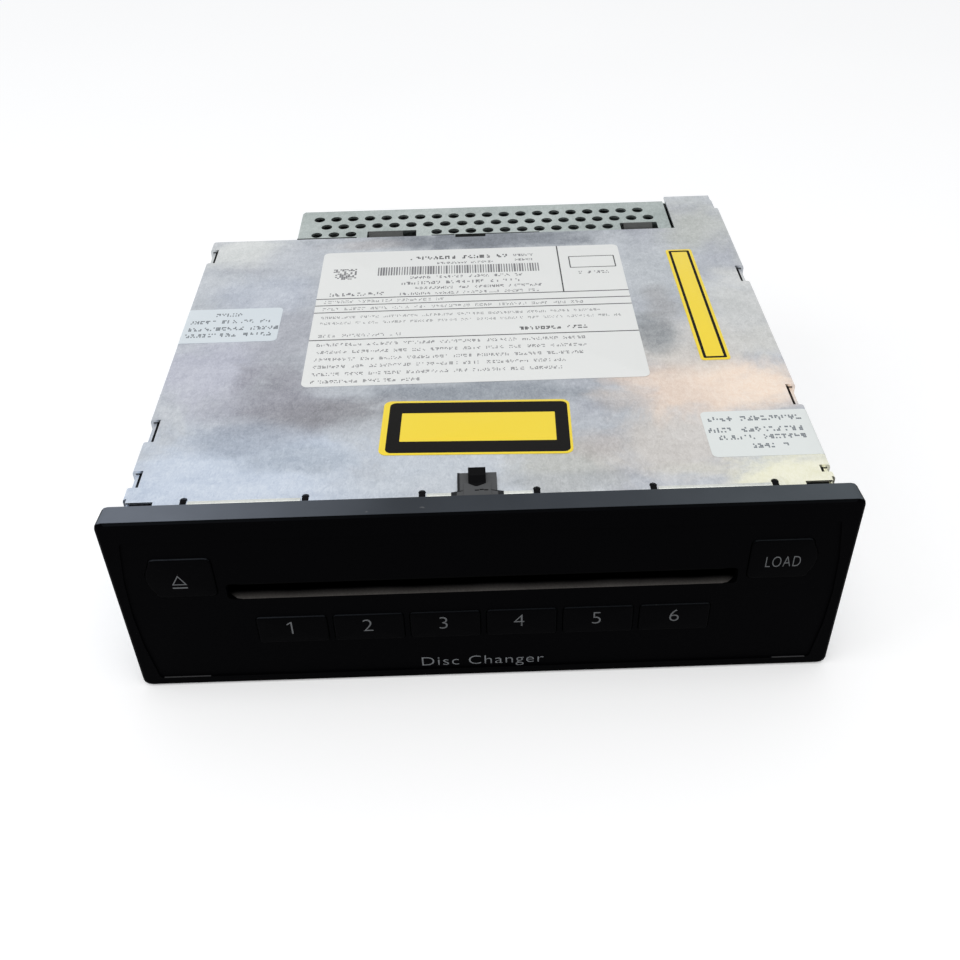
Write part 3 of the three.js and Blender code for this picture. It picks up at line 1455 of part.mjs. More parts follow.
function guidePostSolid(side, y) {
  return turned([
    [0, frameFloorZ],
    [journalRadius, frameFloorZ],
    [journalRadius, frameFloorTopZ + seatGap],
    [guidePost.radius, frameFloorTopZ + seatGap],
    [guidePost.radius, frameTopZ],
    [journalRadius, frameTopZ],
    [journalRadius, frameTopZ + frameSheet + seatGap],
    [0, frameTopZ + frameSheet + seatGap],
  ], side * columnX, y, guidePost.sides);
}

const elevatorMotorShape = {
  radius: 7,
  length: 5.8,
  shaft: 0.8,
  flange: 1,
  flangeReach: 9,
  legRadius: 1.2,
  legSpread: 4.6,
  legSides: 10,
  sides: 14,
};

function elevatorMotor() {
  const base = elevatorZ + elevatorHeight + movingGap;
  const { radius, length, shaft, flange, flangeReach, sides } = elevatorMotorShape;
  const { legRadius, legSpread, legSides } = elevatorMotorShape;
  const x = elevatorPinionX;
  const can = turned([
    [shaft + runningGap, base],
    [radius, base],
    [radius, base + length * canShoulderShares.height],
    [radius * canShoulderShares.radius, base + length],
    [0, base + length],
    [0, base + length * canShoulderShares.cavity],
    [shaft + runningGap, base + length * canShoulderShares.cavity],
    [shaft + runningGap, base],
  ], x, elevatorMotorY, sides);
  const legX = x - flangeReach + legRadius;
  const spread = legSpread + legRadius;
  const plate = block(
    [x - flangeReach, x - shaft * 2],
    [elevatorMotorY - spread, elevatorMotorY + spread],
    [base, base + flange],
  );
  const legs = [-1, 1].map((side) => (
    bar(
      'z', [legX, elevatorMotorY + side * legSpread],
      frameFloorTopZ + seatGap, base + flange / 2, legRadius, legSides,
    )
  ));
  return join(can, plate, ...legs);
}

function elevatorPinion() {
  const z1 = elevatorZ + elevatorHeight;
  const wheel = raised(gearOutline(columnTeeth, 0, 0), elevatorZ, z1);
  const teeth = wheel.translate([elevatorPinionX, elevatorMotorY, 0]);
  const shaftTopZ = z1 + movingGap + elevatorMotorShape.length / 2;
  const middle = [elevatorPinionX, elevatorMotorY];
  const shaft = bar('z', middle, z1 - seatGap, shaftTopZ, elevatorMotorShape.shaft);
  return join(teeth, shaft);
}

// Playback arm, drawn parked along the rear: the spindle at spindleX, the pivot at pivotX
const arm = {
  curveSteps: 5,
  hubRadius: 6,
  hubTopDrop: 1,
  rootHalfWidth: 7,
  flangeDrop: 3,
  openingInset: 3.8,
  openingFrom: 13.4,
  openingTo: 67,
  bracket: 1.2,
  bracketInset: 2,
  innerBracketAt: 12.4,
  outerBracketAt: 69,
  bracketDrop: 1.8,
  holeSides: 12,
  hubSides: 16,
};
const pickup = {
  firstAt: 22,
  half: 7.6,
  sideInset: 2.6,
  underRod: 2.2,
  deckGap: 0.4,
  turret: 4.2,
  turretRise: 1.2,
  turretSides: 12,
};
const pickupBottomZ = rodZ - pickup.underRod;
const pickupTopZ = armDeckZ - pickup.deckGap;
const turretTopZ = armDeckZ + pickup.turretRise;
const rodInset = 4.4;
const rodOffset = armHalfWidth - rodInset;
const screwOffset = -3.8;
const screw = { radius: 1.2, bore: 1.7 };
const spindle = {
  motorRadius: 11.4,
  motorDepth: 5.9,
  tableRadius: 12.6,
  tableRise: 4.2,
  hubRadius: 7.3,
  hubRise: 6.2,
  shaft: 1,
  motorSides: 16,
  tableSides: 18,
};
const motorBevelShare = 0.85;
const hubTaperShare = 0.75;
const sled = { radius: 3.5, length: 13, sides: 16 };
const sledCavityShare = 2 / 3;
const spindleMotorZ = armDeckZ - spindle.motorDepth;
const hubBottomZ = pivotShoulderZ + movingGap;
const hubTopZ = pivotTopZ - arm.hubTopDrop;

function armOutline() {
  const shape = new THREE.Shape();
  const waist = spindleX + arm.outerBracketAt + arm.bracket * 2;
  shape.absarc(spindleX, pivotY, armHalfWidth, Math.PI / 2, 1.5 * Math.PI);
  shape.lineTo(waist, pivotY - armHalfWidth);
  shape.lineTo(pivotX, pivotY - arm.rootHalfWidth);
  shape.absarc(pivotX, pivotY, arm.rootHalfWidth, -Math.PI / 2, Math.PI / 2);
  shape.lineTo(waist, pivotY + armHalfWidth);
  shape.lineTo(spindleX, pivotY + armHalfWidth);
  shape.holes.push(circlePath(spindleX, pivotY, spindle.shaft + 2 * movingGap));
  const x0 = spindleX + arm.openingFrom;
  const x1 = spindleX + arm.openingTo;
  const openingHalf = armHalfWidth - arm.openingInset;
  shape.holes.push(new THREE.Path([
    new THREE.Vector2(x0, pivotY - openingHalf),
    new THREE.Vector2(x1, pivotY - openingHalf),
    new THREE.Vector2(x1, pivotY + openingHalf),
    new THREE.Vector2(x0, pivotY + openingHalf),
  ]));
  return shape;
}

function traverseArm() {
  const deck = raised(armOutline(), armDeckZ, armDeckZ + armSheet, arm.curveSteps);
  const flanges = [-1, 1].map((side) => {
    const edges = [armHalfWidth, armHalfWidth - armSheet].map((reach) => pivotY + side * reach);
    const ys = edges.sort((p, q) => p - q);
    const zs = [armDeckZ - arm.flangeDrop, armDeckZ + seatGap];
    return block([spindleX, spindleX + arm.outerBracketAt], ys, zs);
  });
  const brackets = [arm.innerBracketAt, arm.outerBracketAt].map((at) => {
    const x = spindleX + at;
    const tab = block(
      [x, x + arm.bracket],
      [pivotY - armHalfWidth + arm.bracketInset, pivotY + armHalfWidth - arm.bracketInset],
      [rodZ - arm.bracketDrop, armDeckZ + seatGap],
    );
    const holes = [
      [rodOffset, rodRadius + seatGap],
      [-rodOffset, rodRadius + seatGap],
      [screwOffset, screw.radius + runningGap],
    ];
    return cut(tab, ...holes.map(([offset, radius]) => (
      bar('x', [pivotY + offset, rodZ], x - overrun, x + arm.bracket + overrun, radius, arm.holeSides)
    )));
  });
  const hub = turned([
    [0, hubBottomZ],
    [arm.hubRadius, hubBottomZ],
    [arm.hubRadius, hubTopZ],
    [0, hubTopZ],
  ], pivotX, pivotY, arm.hubSides);
  const boreRadius = pivotPost.radius + runningGap;
  const [boreLow, boreHigh] = [hubBottomZ - overrun, hubTopZ + overrun];
  const bore = bar('z', [pivotX, pivotY], boreLow, boreHigh, boreRadius, pivotPost.sides);
  return cut(join(deck, ...flanges, ...brackets, hub), bore);
}

function spindleMotor() {
  const top = armDeckZ - seatGap;
  const bore = spindle.shaft + runningGap;
  return turned([
    [bore, spindleMotorZ + armSheet],
    [bore, top],
    [spindle.motorRadius, top],
    [spindle.motorRadius, spindleMotorZ + armSheet],
    [spindle.motorRadius * motorBevelShare, spindleMotorZ],
    [0, spindleMotorZ],
    [0, spindleMotorZ + armSheet],
    [bore, spindleMotorZ + armSheet],
  ], spindleX, pivotY, spindle.motorSides);
}

function turntable() {
  const base = armDeckZ + armSheet + movingGap;
  const tableTopZ = armDeckZ + spindle.tableRise;
  return turned([
    [0, spindleMotorZ + 2 * armSheet],
    [spindle.shaft, spindleMotorZ + 2 * armSheet],
    [spindle.shaft, base],
    [spindle.tableRadius, base + armSheet],
    [spindle.tableRadius, tableTopZ],
    [spindle.hubRadius, tableTopZ],
    [spindle.hubRadius, tableTopZ + armSheet],
    [spindle.hubRadius * hubTaperShare, armDeckZ + spindle.hubRise],
    [0, armDeckZ + spindle.hubRise],
  ], spindleX, pivotY, spindle.tableSides);
}

function guideRod(side) {
  const x0 = spindleX + arm.innerBracketAt + seatGap;
  const x1 = spindleX + arm.outerBracketAt + arm.bracket;
  return bar('x', [pivotY + side * rodOffset, rodZ], x0, x1, rodRadius);
}

function leadScrew() {
  const x0 = spindleX + arm.innerBracketAt + seatGap;
  const x1 = spindleX + arm.outerBracketAt + arm.bracket + sled.length / 2;
  return bar('x', [pivotY + screwOffset, rodZ], x0, x1, screw.radius);
}

function sledMotor() {
  const face = spindleX + arm.outerBracketAt + arm.bracket + seatGap;
  return turnedAlongX([
    [screw.radius + runningGap, face],
    [sled.radius, face],
    [sled.radius, face + sled.length],
    [0, face + sled.length],
    [0, face + sled.length * sledCavityShare],
    [screw.radius + runningGap, face + sled.length * sledCavityShare],
    [screw.radius + runningGap, face],
  ], pivotY + screwOffset, rodZ, sled.sides);
}

function opticalPickup() {
  const middle = spindleX + pickup.firstAt;
  const xs = [middle - pickup.half, middle + pickup.half];
  const halfWidth = armHalfWidth - pickup.sideInset;
  const ys = [pivotY - halfWidth, pivotY + halfWidth];
  const body = block(xs, ys, [pickupBottomZ, pickupTopZ]);
  const { turret: turretRadius, turretSides } = pickup;
  const turret = bar('z', [middle, pivotY], pickupTopZ - seatGap, turretTopZ, turretRadius, turretSides);
  const rodBore = rodRadius + runningGap;
  const bores = [[rodOffset, rodBore], [-rodOffset, rodBore], [screwOffset, screw.bore]];
  return cut(join(body, turret), ...bores.map(([offset, radius]) => (
    bar('x', [pivotY + offset, rodZ], xs[0] - overrun, xs[1] + overrun, radius)
  )));
}

const lens = { radius: 2.4, height: 0.9, sides: 12 };

function pickupLens() {
  const base = turretTopZ + seatGap;
  return turned([
    [0, base],
    [lens.radius, base],
    [lens.radius, base + lens.height / 2],
    [lens.radius / 2, base + lens.height],
    [0, base + lens.height],
  ], spindleX + pickup.firstAt, pivotY, lens.sides);
}

// Outer pieces
addPiece('front_bezel', frontBezel(), ...finish.bezel);
addPiece('slot_felt_lower', slotFelt(-1), ...finish.felt);
addPiece('slot_felt_upper', slotFelt(1), ...finish.felt);
addPiece('eject_button', wideKey(-1), ...finish.key);
addPiece('load_button', wideKey(1), ...finish.key);
for (let i = 0; i < keyCount; i += 1) addPiece(`disc_button_${i + 1}`, numberKey(i), ...finish.key);
addPiece('bezel_latch', bezelLatch(), ...finish.bezel);
addPiece('top_cover', topCover(), ...finish.plated);
addPiece('chassis_tray', chassisTray(), ...finish.plated);
addPiece('rear_cover', rearCover(), ...finish.plated);
addPiece('power_socket', powerSocket(), ...finish.socket);
addPiece('video_socket', videoSocket(), ...finish.socket);

// Boards and the floating frame
addPiece('front_board', frontBoard(), ...finish.board);
addPiece('main_board', mainBoardSolid(), ...finish.board);
addPiece('mechanism_frame', mechanismFrame(), ...finish.frameSteel);
addPiece('frame_top_plate', frameTopPlate(), ...finish.frameSteel);
damperPlaces.forEach(([place, side, y]) => {
  addPiece(`damper_${place}`, damperSolid(side, y), ...finish.rubber);
});

// Loading drive
addPiece('loading_roller', loadingRoller(), ...finish.rubber);
const shaftEnds = [gearOuterX - movingGap, frameHalfWidth + movingGap];
addPiece('roller_shaft', bar('x', [rollerY, rollerZ], ...shaftEnds, rollerShaftRadius), ...finish.shaft);
const rollerGear = gearAlongX(rollerTeeth, rollerPhase, rollerShaftRadius + seatGap, rollerY, rollerZ);
addPiece('roller_gear', rollerGear, ...finish.gear);
addPiece('roller_bush_left', rollerBush(-1), ...finish.bronze);
addPiece('roller_bush_right', rollerBush(1), ...finish.bronze);
const idlerBore = idlerStud + runningGap;
addPiece('idler_gear', gearAlongX(idlerTeeth, idlerPhase, idlerBore, idlerY, idlerZ), ...finish.gear);
addPiece('loading_motor', motorAlongX(), ...finish.motor);
addPiece('loading_pinion', loadingPinion(), ...finish.bronze);
addPiece('pinch_guide', pinchGuideSolid(), ...finish.holder);

// Disc store
for (let i = 0; i < 2 * holdersPerGroup; i += 1) {
  addPiece(`disc_holder_${i + 1}`, discHolder(i), ...finish.holder);
}
columnPlaces.forEach(([place, side, y]) => {
  addPiece(`elevator_column_${place}`, elevatorColumn(side, y), ...finish.white);
});
postPlaces.forEach(([place, side, y]) => {
  addPiece(`guide_post_${place}`, guidePostSolid(side, y), ...finish.shaft);
});
addPiece('elevator_slide', elevatorSlide(), ...finish.white);
addPiece('elevator_motor', elevatorMotor(), ...finish.motor);
addPiece('elevator_pinion', elevatorPinion(), ...finish.bronze);

// Playback arm
addPiece('traverse_arm', traverseArm(), ...finish.frameSteel);
addPiece('spindle_motor', spindleMotor(), ...finish.motor);
addPiece('turntable', turntable(), ...finish.holder);
addPiece('guide_rod_front', guideRod(-1), ...finish.shaft);
addPiece('guide_rod_rear', guideRod(1), ...finish.shaft);
addPiece('lead_screw', leadScrew(), ...finish.shaft);
addPiece('sled_motor', sledMotor(), ...finish.motor);
addPiece('optical_pickup', opticalPickup(), ...finish.pickup);
addPiece('pickup_lens', pickupLens(), ...finish.lens);

export default unit;
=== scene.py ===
import json
import math

import bmesh
import bpy
import numpy as np
from mathutils import Matrix, Vector
from mathutils.geometry import delaunay_2d_cdt


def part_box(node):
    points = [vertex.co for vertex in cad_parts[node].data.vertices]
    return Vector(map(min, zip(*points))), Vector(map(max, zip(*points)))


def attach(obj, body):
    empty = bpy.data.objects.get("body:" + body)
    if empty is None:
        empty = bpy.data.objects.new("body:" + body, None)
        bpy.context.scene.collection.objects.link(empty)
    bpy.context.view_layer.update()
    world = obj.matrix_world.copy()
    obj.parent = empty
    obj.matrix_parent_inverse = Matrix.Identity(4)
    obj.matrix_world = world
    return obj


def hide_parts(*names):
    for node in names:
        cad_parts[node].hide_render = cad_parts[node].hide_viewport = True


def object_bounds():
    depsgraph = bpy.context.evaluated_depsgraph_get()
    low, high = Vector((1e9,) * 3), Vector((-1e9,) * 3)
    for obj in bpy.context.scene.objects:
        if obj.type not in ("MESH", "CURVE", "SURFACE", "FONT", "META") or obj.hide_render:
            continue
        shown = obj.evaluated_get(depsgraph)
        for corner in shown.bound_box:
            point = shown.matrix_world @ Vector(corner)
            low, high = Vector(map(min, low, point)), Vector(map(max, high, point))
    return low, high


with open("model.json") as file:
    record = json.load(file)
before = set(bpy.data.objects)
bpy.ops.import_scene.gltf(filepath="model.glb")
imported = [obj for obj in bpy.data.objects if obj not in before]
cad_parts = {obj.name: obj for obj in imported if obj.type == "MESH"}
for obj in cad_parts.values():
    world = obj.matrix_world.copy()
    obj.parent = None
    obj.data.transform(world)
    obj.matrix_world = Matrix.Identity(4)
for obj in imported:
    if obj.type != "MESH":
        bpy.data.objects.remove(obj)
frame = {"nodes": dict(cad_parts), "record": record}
nodes = frame["nodes"]
cadLow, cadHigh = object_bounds()
mm = 0.001
frontY = cadLow.y  # millimetre values count Y from the bezel's face
random = np.random.default_rng(7)
print("frame loaded:", len(nodes), "nodes")


# Millimetres, with Y from the bezel's face, to metres in the shared frame
def toFrame(points):
    return np.asarray(points, float) * mm + np.array([0, frontY, 0])


# Lowest and highest corner of a CAD node in the same millimetres
def nodeBox(name):
    low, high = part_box(name)
    shift = np.array([0, frontY, 0])
    return (np.array(low) - shift) / mm, (np.array(high) - shift) / mm


# Quads of a grid; wrap joins the last column to the first
def gridFaces(rows, cols, wrap=False):
    index = np.arange(rows * cols).reshape(rows, cols)
    if wrap:
        index = np.concatenate([index, index[:, :1]], 1)
    return np.stack([index[:-1, :-1], index[:-1, 1:], index[1:, 1:], index[1:, :-1]], -1).reshape(-1, 4)


def newMesh(name, points, faces):
    mesh = bpy.data.meshes.new(name)
    mesh.from_pydata(np.asarray(points, float).reshape(-1, 3).tolist(), [], faces)
    mesh.update()
    return mesh


def linked(name, data):
    made = bpy.data.objects.new(name, data)
    bpy.context.scene.collection.objects.link(made)
    return made


# Doubles merged, faces turned outwards, and edges sharper than the angle kept sharp
def finished(name, mesh, material, sharp, merge=True, outwards=True):
    work = bmesh.new()
    work.from_mesh(mesh)
    if merge:
        bmesh.ops.remove_doubles(work, verts=work.verts, dist=1e-6)
    if outwards:
        bmesh.ops.recalc_face_normals(work, faces=work.faces)
    work.to_mesh(mesh)
    work.free()
    mesh.shade_smooth()
    mesh.set_sharp_from_angle(angle=math.radians(sharp))
    mesh.materials.append(material)
    return linked(name, mesh)


def piece(name, points, faces, material, body="root", sharp=35, outwards=True):
    mesh = newMesh(name, toFrame(points), np.asarray(faces).tolist())
    made = finished(name, mesh, material, sharp, outwards=outwards)
    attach(made, body)
    return made


# Numbers or arrays side by side along a new last axis
def joined(*parts):
    return np.stack(np.broadcast_arrays(*parts), -1)


# Rows of closed lines as one skin
def skin(name, rows, material, body="root", sharp=35):
    rows = np.asarray(rows)
    return piece(name, rows, gridFaces(*rows.shape[:2], True), material, body, sharp)


# Rounded rectangle as a closed line
def roundedRing(halfX, halfY, corner, steps=6):
    quarter = np.arange(4)[:, None] * math.pi / 2
    angle = (quarter + np.linspace(0, math.pi / 2, steps + 1)[None, :]).ravel()
    signs = np.repeat(np.array([[1, 1], [-1, 1], [-1, -1], [1, -1]]), steps + 1, 0)
    centres = signs * np.array([halfX - corner, halfY - corner])
    return centres + corner * joined(np.cos(angle), np.sin(angle))


# A closed line moved inwards along its normals, found from each point's two neighbours
def insetLine(ring, inset):
    along = np.roll(ring, -1, 0) - np.roll(ring, 1, 0)
    normal = joined(along[:, 1], -along[:, 0])
    return ring - inset * normal / np.linalg.norm(normal, axis=-1, keepdims=True)


# A slab: an outline carried through (inset, height) stations, closed by its middle point at both ends
def slab(ring, stations):
    rows = [joined(*insetLine(ring, inset).T, height) for inset, height in stations]
    ends = [np.tile(row.mean(0), (len(ring), 1)) for row in (rows[0], rows[-1])]
    return np.array([ends[0], *rows, ends[1]])


# A quarter circle from a flat face round to the side, as (inset, height) stations going down
def roundedEdge(height, radius, steps=3):
    angle = np.linspace(0, math.pi / 2, steps + 1)
    return [(radius * (1 - math.sin(a)), height - radius * (1 - math.cos(a))) for a in angle]


def turned(points, degrees):
    angle = math.radians(degrees)
    spin = np.array([[math.cos(angle), math.sin(angle), 0], [-math.sin(angle), math.cos(angle), 0], [0, 0, 1]])
    return points @ spin


def flatPlate(name, centre, half, corner, thickness, baseZ, material, turn=0, edge=0.03, slotName=None):
    ring = roundedRing(*half, corner)
    rows = slab(ring, [*roundedEdge(thickness, edge), (0, 0)])
    return skin(name, turned(rows, turn) + [*centre, baseZ], material)


# A flat frame: an outer rounded rectangle joined to an inner one, each given as its half size and corner
def flatFrame(name, centre, outer, inner, thickness, baseZ, material, turn=0):
    outer, inner = (roundedRing(*half, corner) for half, corner in (outer, inner))
    stations = ((outer, 0), (outer, thickness), (inner, thickness), (inner, 0), (outer, 0))
    rows = np.array([joined(*ring.T, height) for ring, height in stations])
    return skin(name, turned(rows, turn) + [*centre, baseZ], material)


# Many small bars in one mesh, from their middles, half sizes and heights
def bars(name, centres, halves, baseZ, topZ, material):
    centres, halves = np.asarray(centres, float), np.asarray(halves, float)
    sides = ((-1, -1), (1, -1), (1, 1), (-1, 1))
    corner = np.array([[x, y, level] for level in (0, 1) for x, y in sides])
    flat = centres[:, None, :] + halves[:, None, :] * corner[None, :, :2]
    points = joined(flat[..., 0], flat[..., 1], baseZ + (topZ - baseZ) * corner[:, 2])
    face = np.array([[0, 3, 2, 1], [4, 5, 6, 7], [0, 1, 5, 4], [1, 2, 6, 5], [2, 3, 7, 6], [3, 0, 4, 7]])
    faces = (face[None] + 8 * np.arange(len(centres))[:, None, None]).reshape(-1, 4)
    return piece(name, points, faces, material, outwards=False)


# A closed profile carried along X, with flat ends; profiles has one ring of (y, z) for each place in xs
def carried(name, xs, profiles, material, sharp=35):
    profiles = np.asarray(profiles, float)
    if profiles.ndim == 2:
        profiles = np.tile(profiles, (len(xs), 1, 1))
    points = joined(np.asarray(xs, float)[:, None], profiles[..., 0], profiles[..., 1])
    ends = points[[0, -1]].mean(1, keepdims=True) * np.ones((1, profiles.shape[1], 1))
    return skin(name, np.concatenate([ends[:1], points, ends[1:]]), material, sharp=sharp)


# Node helpers
def newMaterial(name):
    material = bpy.data.materials.new(name)
    material.use_nodes = True
    tree = material.node_tree
    return material, tree, tree.nodes["Principled BSDF"]


def setInputs(tree, node, inputs):
    for key, value in inputs.items():
        if isinstance(value, bpy.types.NodeSocket):
            tree.links.new(value, node.inputs[key])
        else:
            node.inputs[key].default_value = value


def addNode(tree, kind, inputs=None, **settings):
    made = tree.nodes.new("ShaderNode" + kind)
    for key, value in settings.items():
        setattr(made, key, value)
    setInputs(tree, made, inputs or {})
    return made


def objectPlace(tree, scale=(1, 1, 1), turn=0):
    place = addNode(tree, "TexCoord").outputs["Object"]
    inputs = {"Vector": place, "Scale": scale, "Rotation": (0, 0, math.radians(turn))}
    return addNode(tree, "Mapping", inputs).outputs[0]


def noise(tree, place, scale, detail=3, roughness=0.5, distortion=0):
    inputs = {"Vector": place, "Scale": scale, "Detail": detail, "Roughness": roughness, "Distortion": distortion}
    return addNode(tree, "TexNoise", inputs).outputs["Fac"]


# A colour with its alpha; a socket stays as it is
def rgba(color):
    return color if isinstance(color, bpy.types.NodeSocket) or len(color) == 4 else (*color, 1)


def ramp(tree, value, stops):
    made = addNode(tree, "ValToRGB", {"Fac": value})
    elements = made.color_ramp.elements
    while len(elements) < len(stops):
        elements.new(0.5)
    for element, (position, color) in zip(elements, stops):
        element.position = position
        element.color = rgba(color)
    return made.outputs["Color"]


def mixed(tree, amount, first, second, blend="MIX"):
    inputs = {"Factor": amount, 6: rgba(first), 7: rgba(second)}
    return addNode(tree, "Mix", inputs, data_type="RGBA", blend_type=blend).outputs[2]


# A colour darkened and lit by a value's greys
def grained(tree, amount, color, value, low, high, dark, light):
    greys = ramp(tree, value, [(low, (dark,) * 3), (high, (light,) * 3)])
    return mixed(tree, amount, color, greys, "SOFT_LIGHT")


def spread(tree, value, low, high, lowTo, highTo, shape="LINEAR"):
    inputs = {"Value": value, "From Min": low, "From Max": high, "To Min": lowTo, "To Max": highTo}
    return addNode(tree, "MapRange", inputs, interpolation_type=shape).outputs["Result"]


def worked(tree, operation, first, second):
    return addNode(tree, "Math", {0: first, 1: second}, operation=operation).outputs[0]


def length(tree, place):
    return addNode(tree, "VectorMath", {0: place}, operation="LENGTH").outputs["Value"]


# 1 in the middle of a patch to 0 at its rim, by the distance counted in its half sizes
def patchAmount(tree, place, centre, half, wobble):
    offset = addNode(tree, "VectorMath", {0: place, 1: tuple(toFrame(centre))}, operation="SUBTRACT").outputs[0]
    share = addNode(tree, "VectorMath", {0: offset, 1: tuple(np.array(half) * mm)}, operation="DIVIDE").outputs[0]
    return spread(tree, worked(tree, "ADD", length(tree, share), wobble), 1.25, 0.35, 0, 1, "SMOOTHSTEP")


def bumped(tree, shader, height, strength, distance):
    made = addNode(tree, "Bump", {"Height": height, "Strength": strength, "Distance": distance})
    tree.links.new(made.outputs["Normal"], shader.inputs["Normal"])


# A mark over the tone: stretch, turn, noise (scale, detail, roughness, distortion), greys (from, to, dark, light) and
# strength
zinc = {
    "cover": ((0.4, 0.42, 0.47), (0.49, 0.52, 0.56), (0.58, 0.61, 0.65)),
    "frame": ((0.4, 0.42, 0.42), (0.46, 0.48, 0.48), (0.53, 0.55, 0.55)),
    "strip": ((0.35, 0.4, 0.39), (0.41, 0.46, 0.45), (0.48, 0.53, 0.52)),
    "stops": (0.32, 0.5, 0.68), "roughness": (0.3, 0.46), "metallic": 0.9, "patchZ": 57, "patchHeight": 22,
    "wiped": ((0.4, 1, 1), 8, (85, 5, 0.6, 0.8), (0.32, 0.68, 0.34, 0.66), 1.0),
    "blotted": ((1, 1, 1), 0, (150, 4, 0.65, 1.5), (0.3, 0.7, 0.36, 0.62), 0.7),
    "wisps": ((1, 0.5, 1), -20, (1150, 3, 0.7, 1.5), (0.36, 0.66, 0.3, 0.78), 0.42),
    "rubbed": ((1, 0.2, 1), 4, (1500, 2, 0.6, 0), (0.35, 0.65, 0.3, 0.8), 0.07),
    "crystalScale": 720, "crystals": (0.2, 0.8, 0.28, 0.78), "crystalAmount": 0.14,
}


def zincMark(tree, color, kind, share=1):
    stretch, turn, sizes, greys, amount = zinc[kind]
    value = noise(tree, objectPlace(tree, stretch, turn), *sizes)
    return grained(tree, amount * share, color, value, *greys), value


# Zinc-plated sheet: clouds of tone, patches, wiped smears, small frosty crystals, fine wisps and rubbing marks
def zincSheet(name, tones, patches=(), smear=0.5):
    material, tree, shader = newMaterial(name)
    place = objectPlace(tree)
    color = ramp(tree, noise(tree, place, 26, 4, 0.55, 0.6), list(zip(zinc["stops"], tones)))
    wobble = spread(tree, noise(tree, place, 42, 5, 0.62, 0.5), 0.25, 0.75, -0.5, 0.5)
    for x, y, halfX, halfY, *tone, amount in patches:
        covered = patchAmount(tree, place, (x, y, zinc["patchZ"]), (halfX, halfY, zinc["patchHeight"]), wobble)
        color = mixed(tree, worked(tree, "MULTIPLY", covered, amount), color, tone)
    color, _ = zincMark(tree, color, "wiped", smear)
    color, _ = zincMark(tree, color, "blotted", smear)
    crystal = addNode(tree, "TexVoronoi", {"Vector": place, "Scale": zinc["crystalScale"]}, feature="F1")
    frost = addNode(tree, "RGBToBW", {"Color": crystal.outputs["Color"]}).outputs[0]
    color = grained(tree, zinc["crystalAmount"], color, frost, *zinc["crystals"])
    color, _ = zincMark(tree, color, "wisps")
    color, rubbed = zincMark(tree, color, "rubbed")
    rough = spread(tree, noise(tree, place, 60, 4, 0.6), 0.3, 0.7, *zinc["roughness"])
    setInputs(tree, shader, {"Base Color": color, "Metallic": zinc["metallic"], "Roughness": rough})
    bumped(tree, shader, rubbed, 0.05, 0.00005)
    return material


# A film of dust and painted sheen lies above a height, and its tone changes along two spans of X, all in metres; the
# paler, bluer ends are painted reflections
moulding = {
    "color": (0.0006, 0.0006, 0.0009), "keyColor": (0.0008, 0.0008, 0.0011), "specular": 0.012, "roughness": 0.55,
    "dustAndSheen": (0.054, 0.061, 0.071), "leftDustAndSheen": (0.17, 0.19, 0.225), "rightDustAndSheen": (0.09, 0.103, 0.115),
    "leftSpan": (-0.02, -0.082), "rightSpan": (0.02, 0.09), "speck": (0.3, 0.3, 0.3), "dustAndSheenFrom": 0.05,
}


# Matte black moulding with a lighter film on what faces up, partly dust and partly painted sheen, paler towards both
# ends as painted reflection, and a few specks
def mouldedBlack(name, color, dustAndSheenAmount=1.0, dustAndSheenFrom=moulding["dustAndSheenFrom"], roughness=moulding["roughness"]):
    material, tree, shader = newMaterial(name)
    place = objectPlace(tree)
    up = addNode(tree, "SeparateXYZ", {"Vector": addNode(tree, "NewGeometry").outputs["Normal"]}).outputs["Z"]
    parts = addNode(tree, "SeparateXYZ", {"Vector": place}).outputs
    # Painted sheen with dust: lighter on faces that point up, so the bezel's top and the keys' upper edges read as
    # lit
    film = spread(tree, up, 0.6, 0.98, 0, dustAndSheenAmount)
    film = worked(tree, "MULTIPLY", film, spread(tree, parts["Z"], dustAndSheenFrom, dustAndSheenFrom + 0.001, 0, 1))
    patchy = spread(tree, noise(tree, place, 35, 4, 0.6), 0.3, 0.75, 0.8, 1.0)
    amount = worked(tree, "MULTIPLY", film, patchy)
    dustAndSheen = moulding["dustAndSheen"]
    for side in ("left", "right"):
        dustAndSheen = mixed(tree, spread(tree, parts["X"], *moulding[side + "Span"], 0, 1), dustAndSheen, moulding[side + "DustAndSheen"])
    speck = noise(tree, place, 420, 1, 0.5)
    dustAndSheen = mixed(tree, spread(tree, speck, 0.76, 0.8, 0, 0.3), dustAndSheen, moulding["speck"])
    grain = noise(tree, place, 2600, 2, 0.6)
    base = grained(tree, 0.3, color, grain, 0.3, 0.7, 0.3, 0.8)
    rough = spread(tree, grain, 0.3, 0.7, roughness - 0.06, roughness + 0.08)
    setInputs(tree, shader, {"Base Color": mixed(tree, amount, base, dustAndSheen), "Roughness": rough,
                             "Specular IOR Level": moulding["specular"]})
    bumped(tree, shader, grain, 0.12, 0.00004)
    return material


# Plain plastics, rubber, film and ink: one colour with faint mottling, its own gloss and a fine grain
def plainFinish(name, color, roughness=0.5, metallic=0, specular=0.5, grainScale=1500, mottle=0.12, bump=0.06):
    material, tree, shader = newMaterial(name)
    place = objectPlace(tree)
    tinted = grained(tree, mottle, color, noise(tree, place, 45, 4, 0.6), 0.3, 0.7, 0.2, 0.85)
    grain = noise(tree, place, grainScale, 3, 0.6)
    rough = spread(tree, grain, 0.3, 0.7, max(0.02, roughness - 0.07), roughness + 0.08)
    setInputs(tree, shader, {"Base Color": tinted, "Metallic": metallic, "Specular IOR Level": specular,
                             "Roughness": rough})
    bumped(tree, shader, grain, bump, 0.00003)
    return material
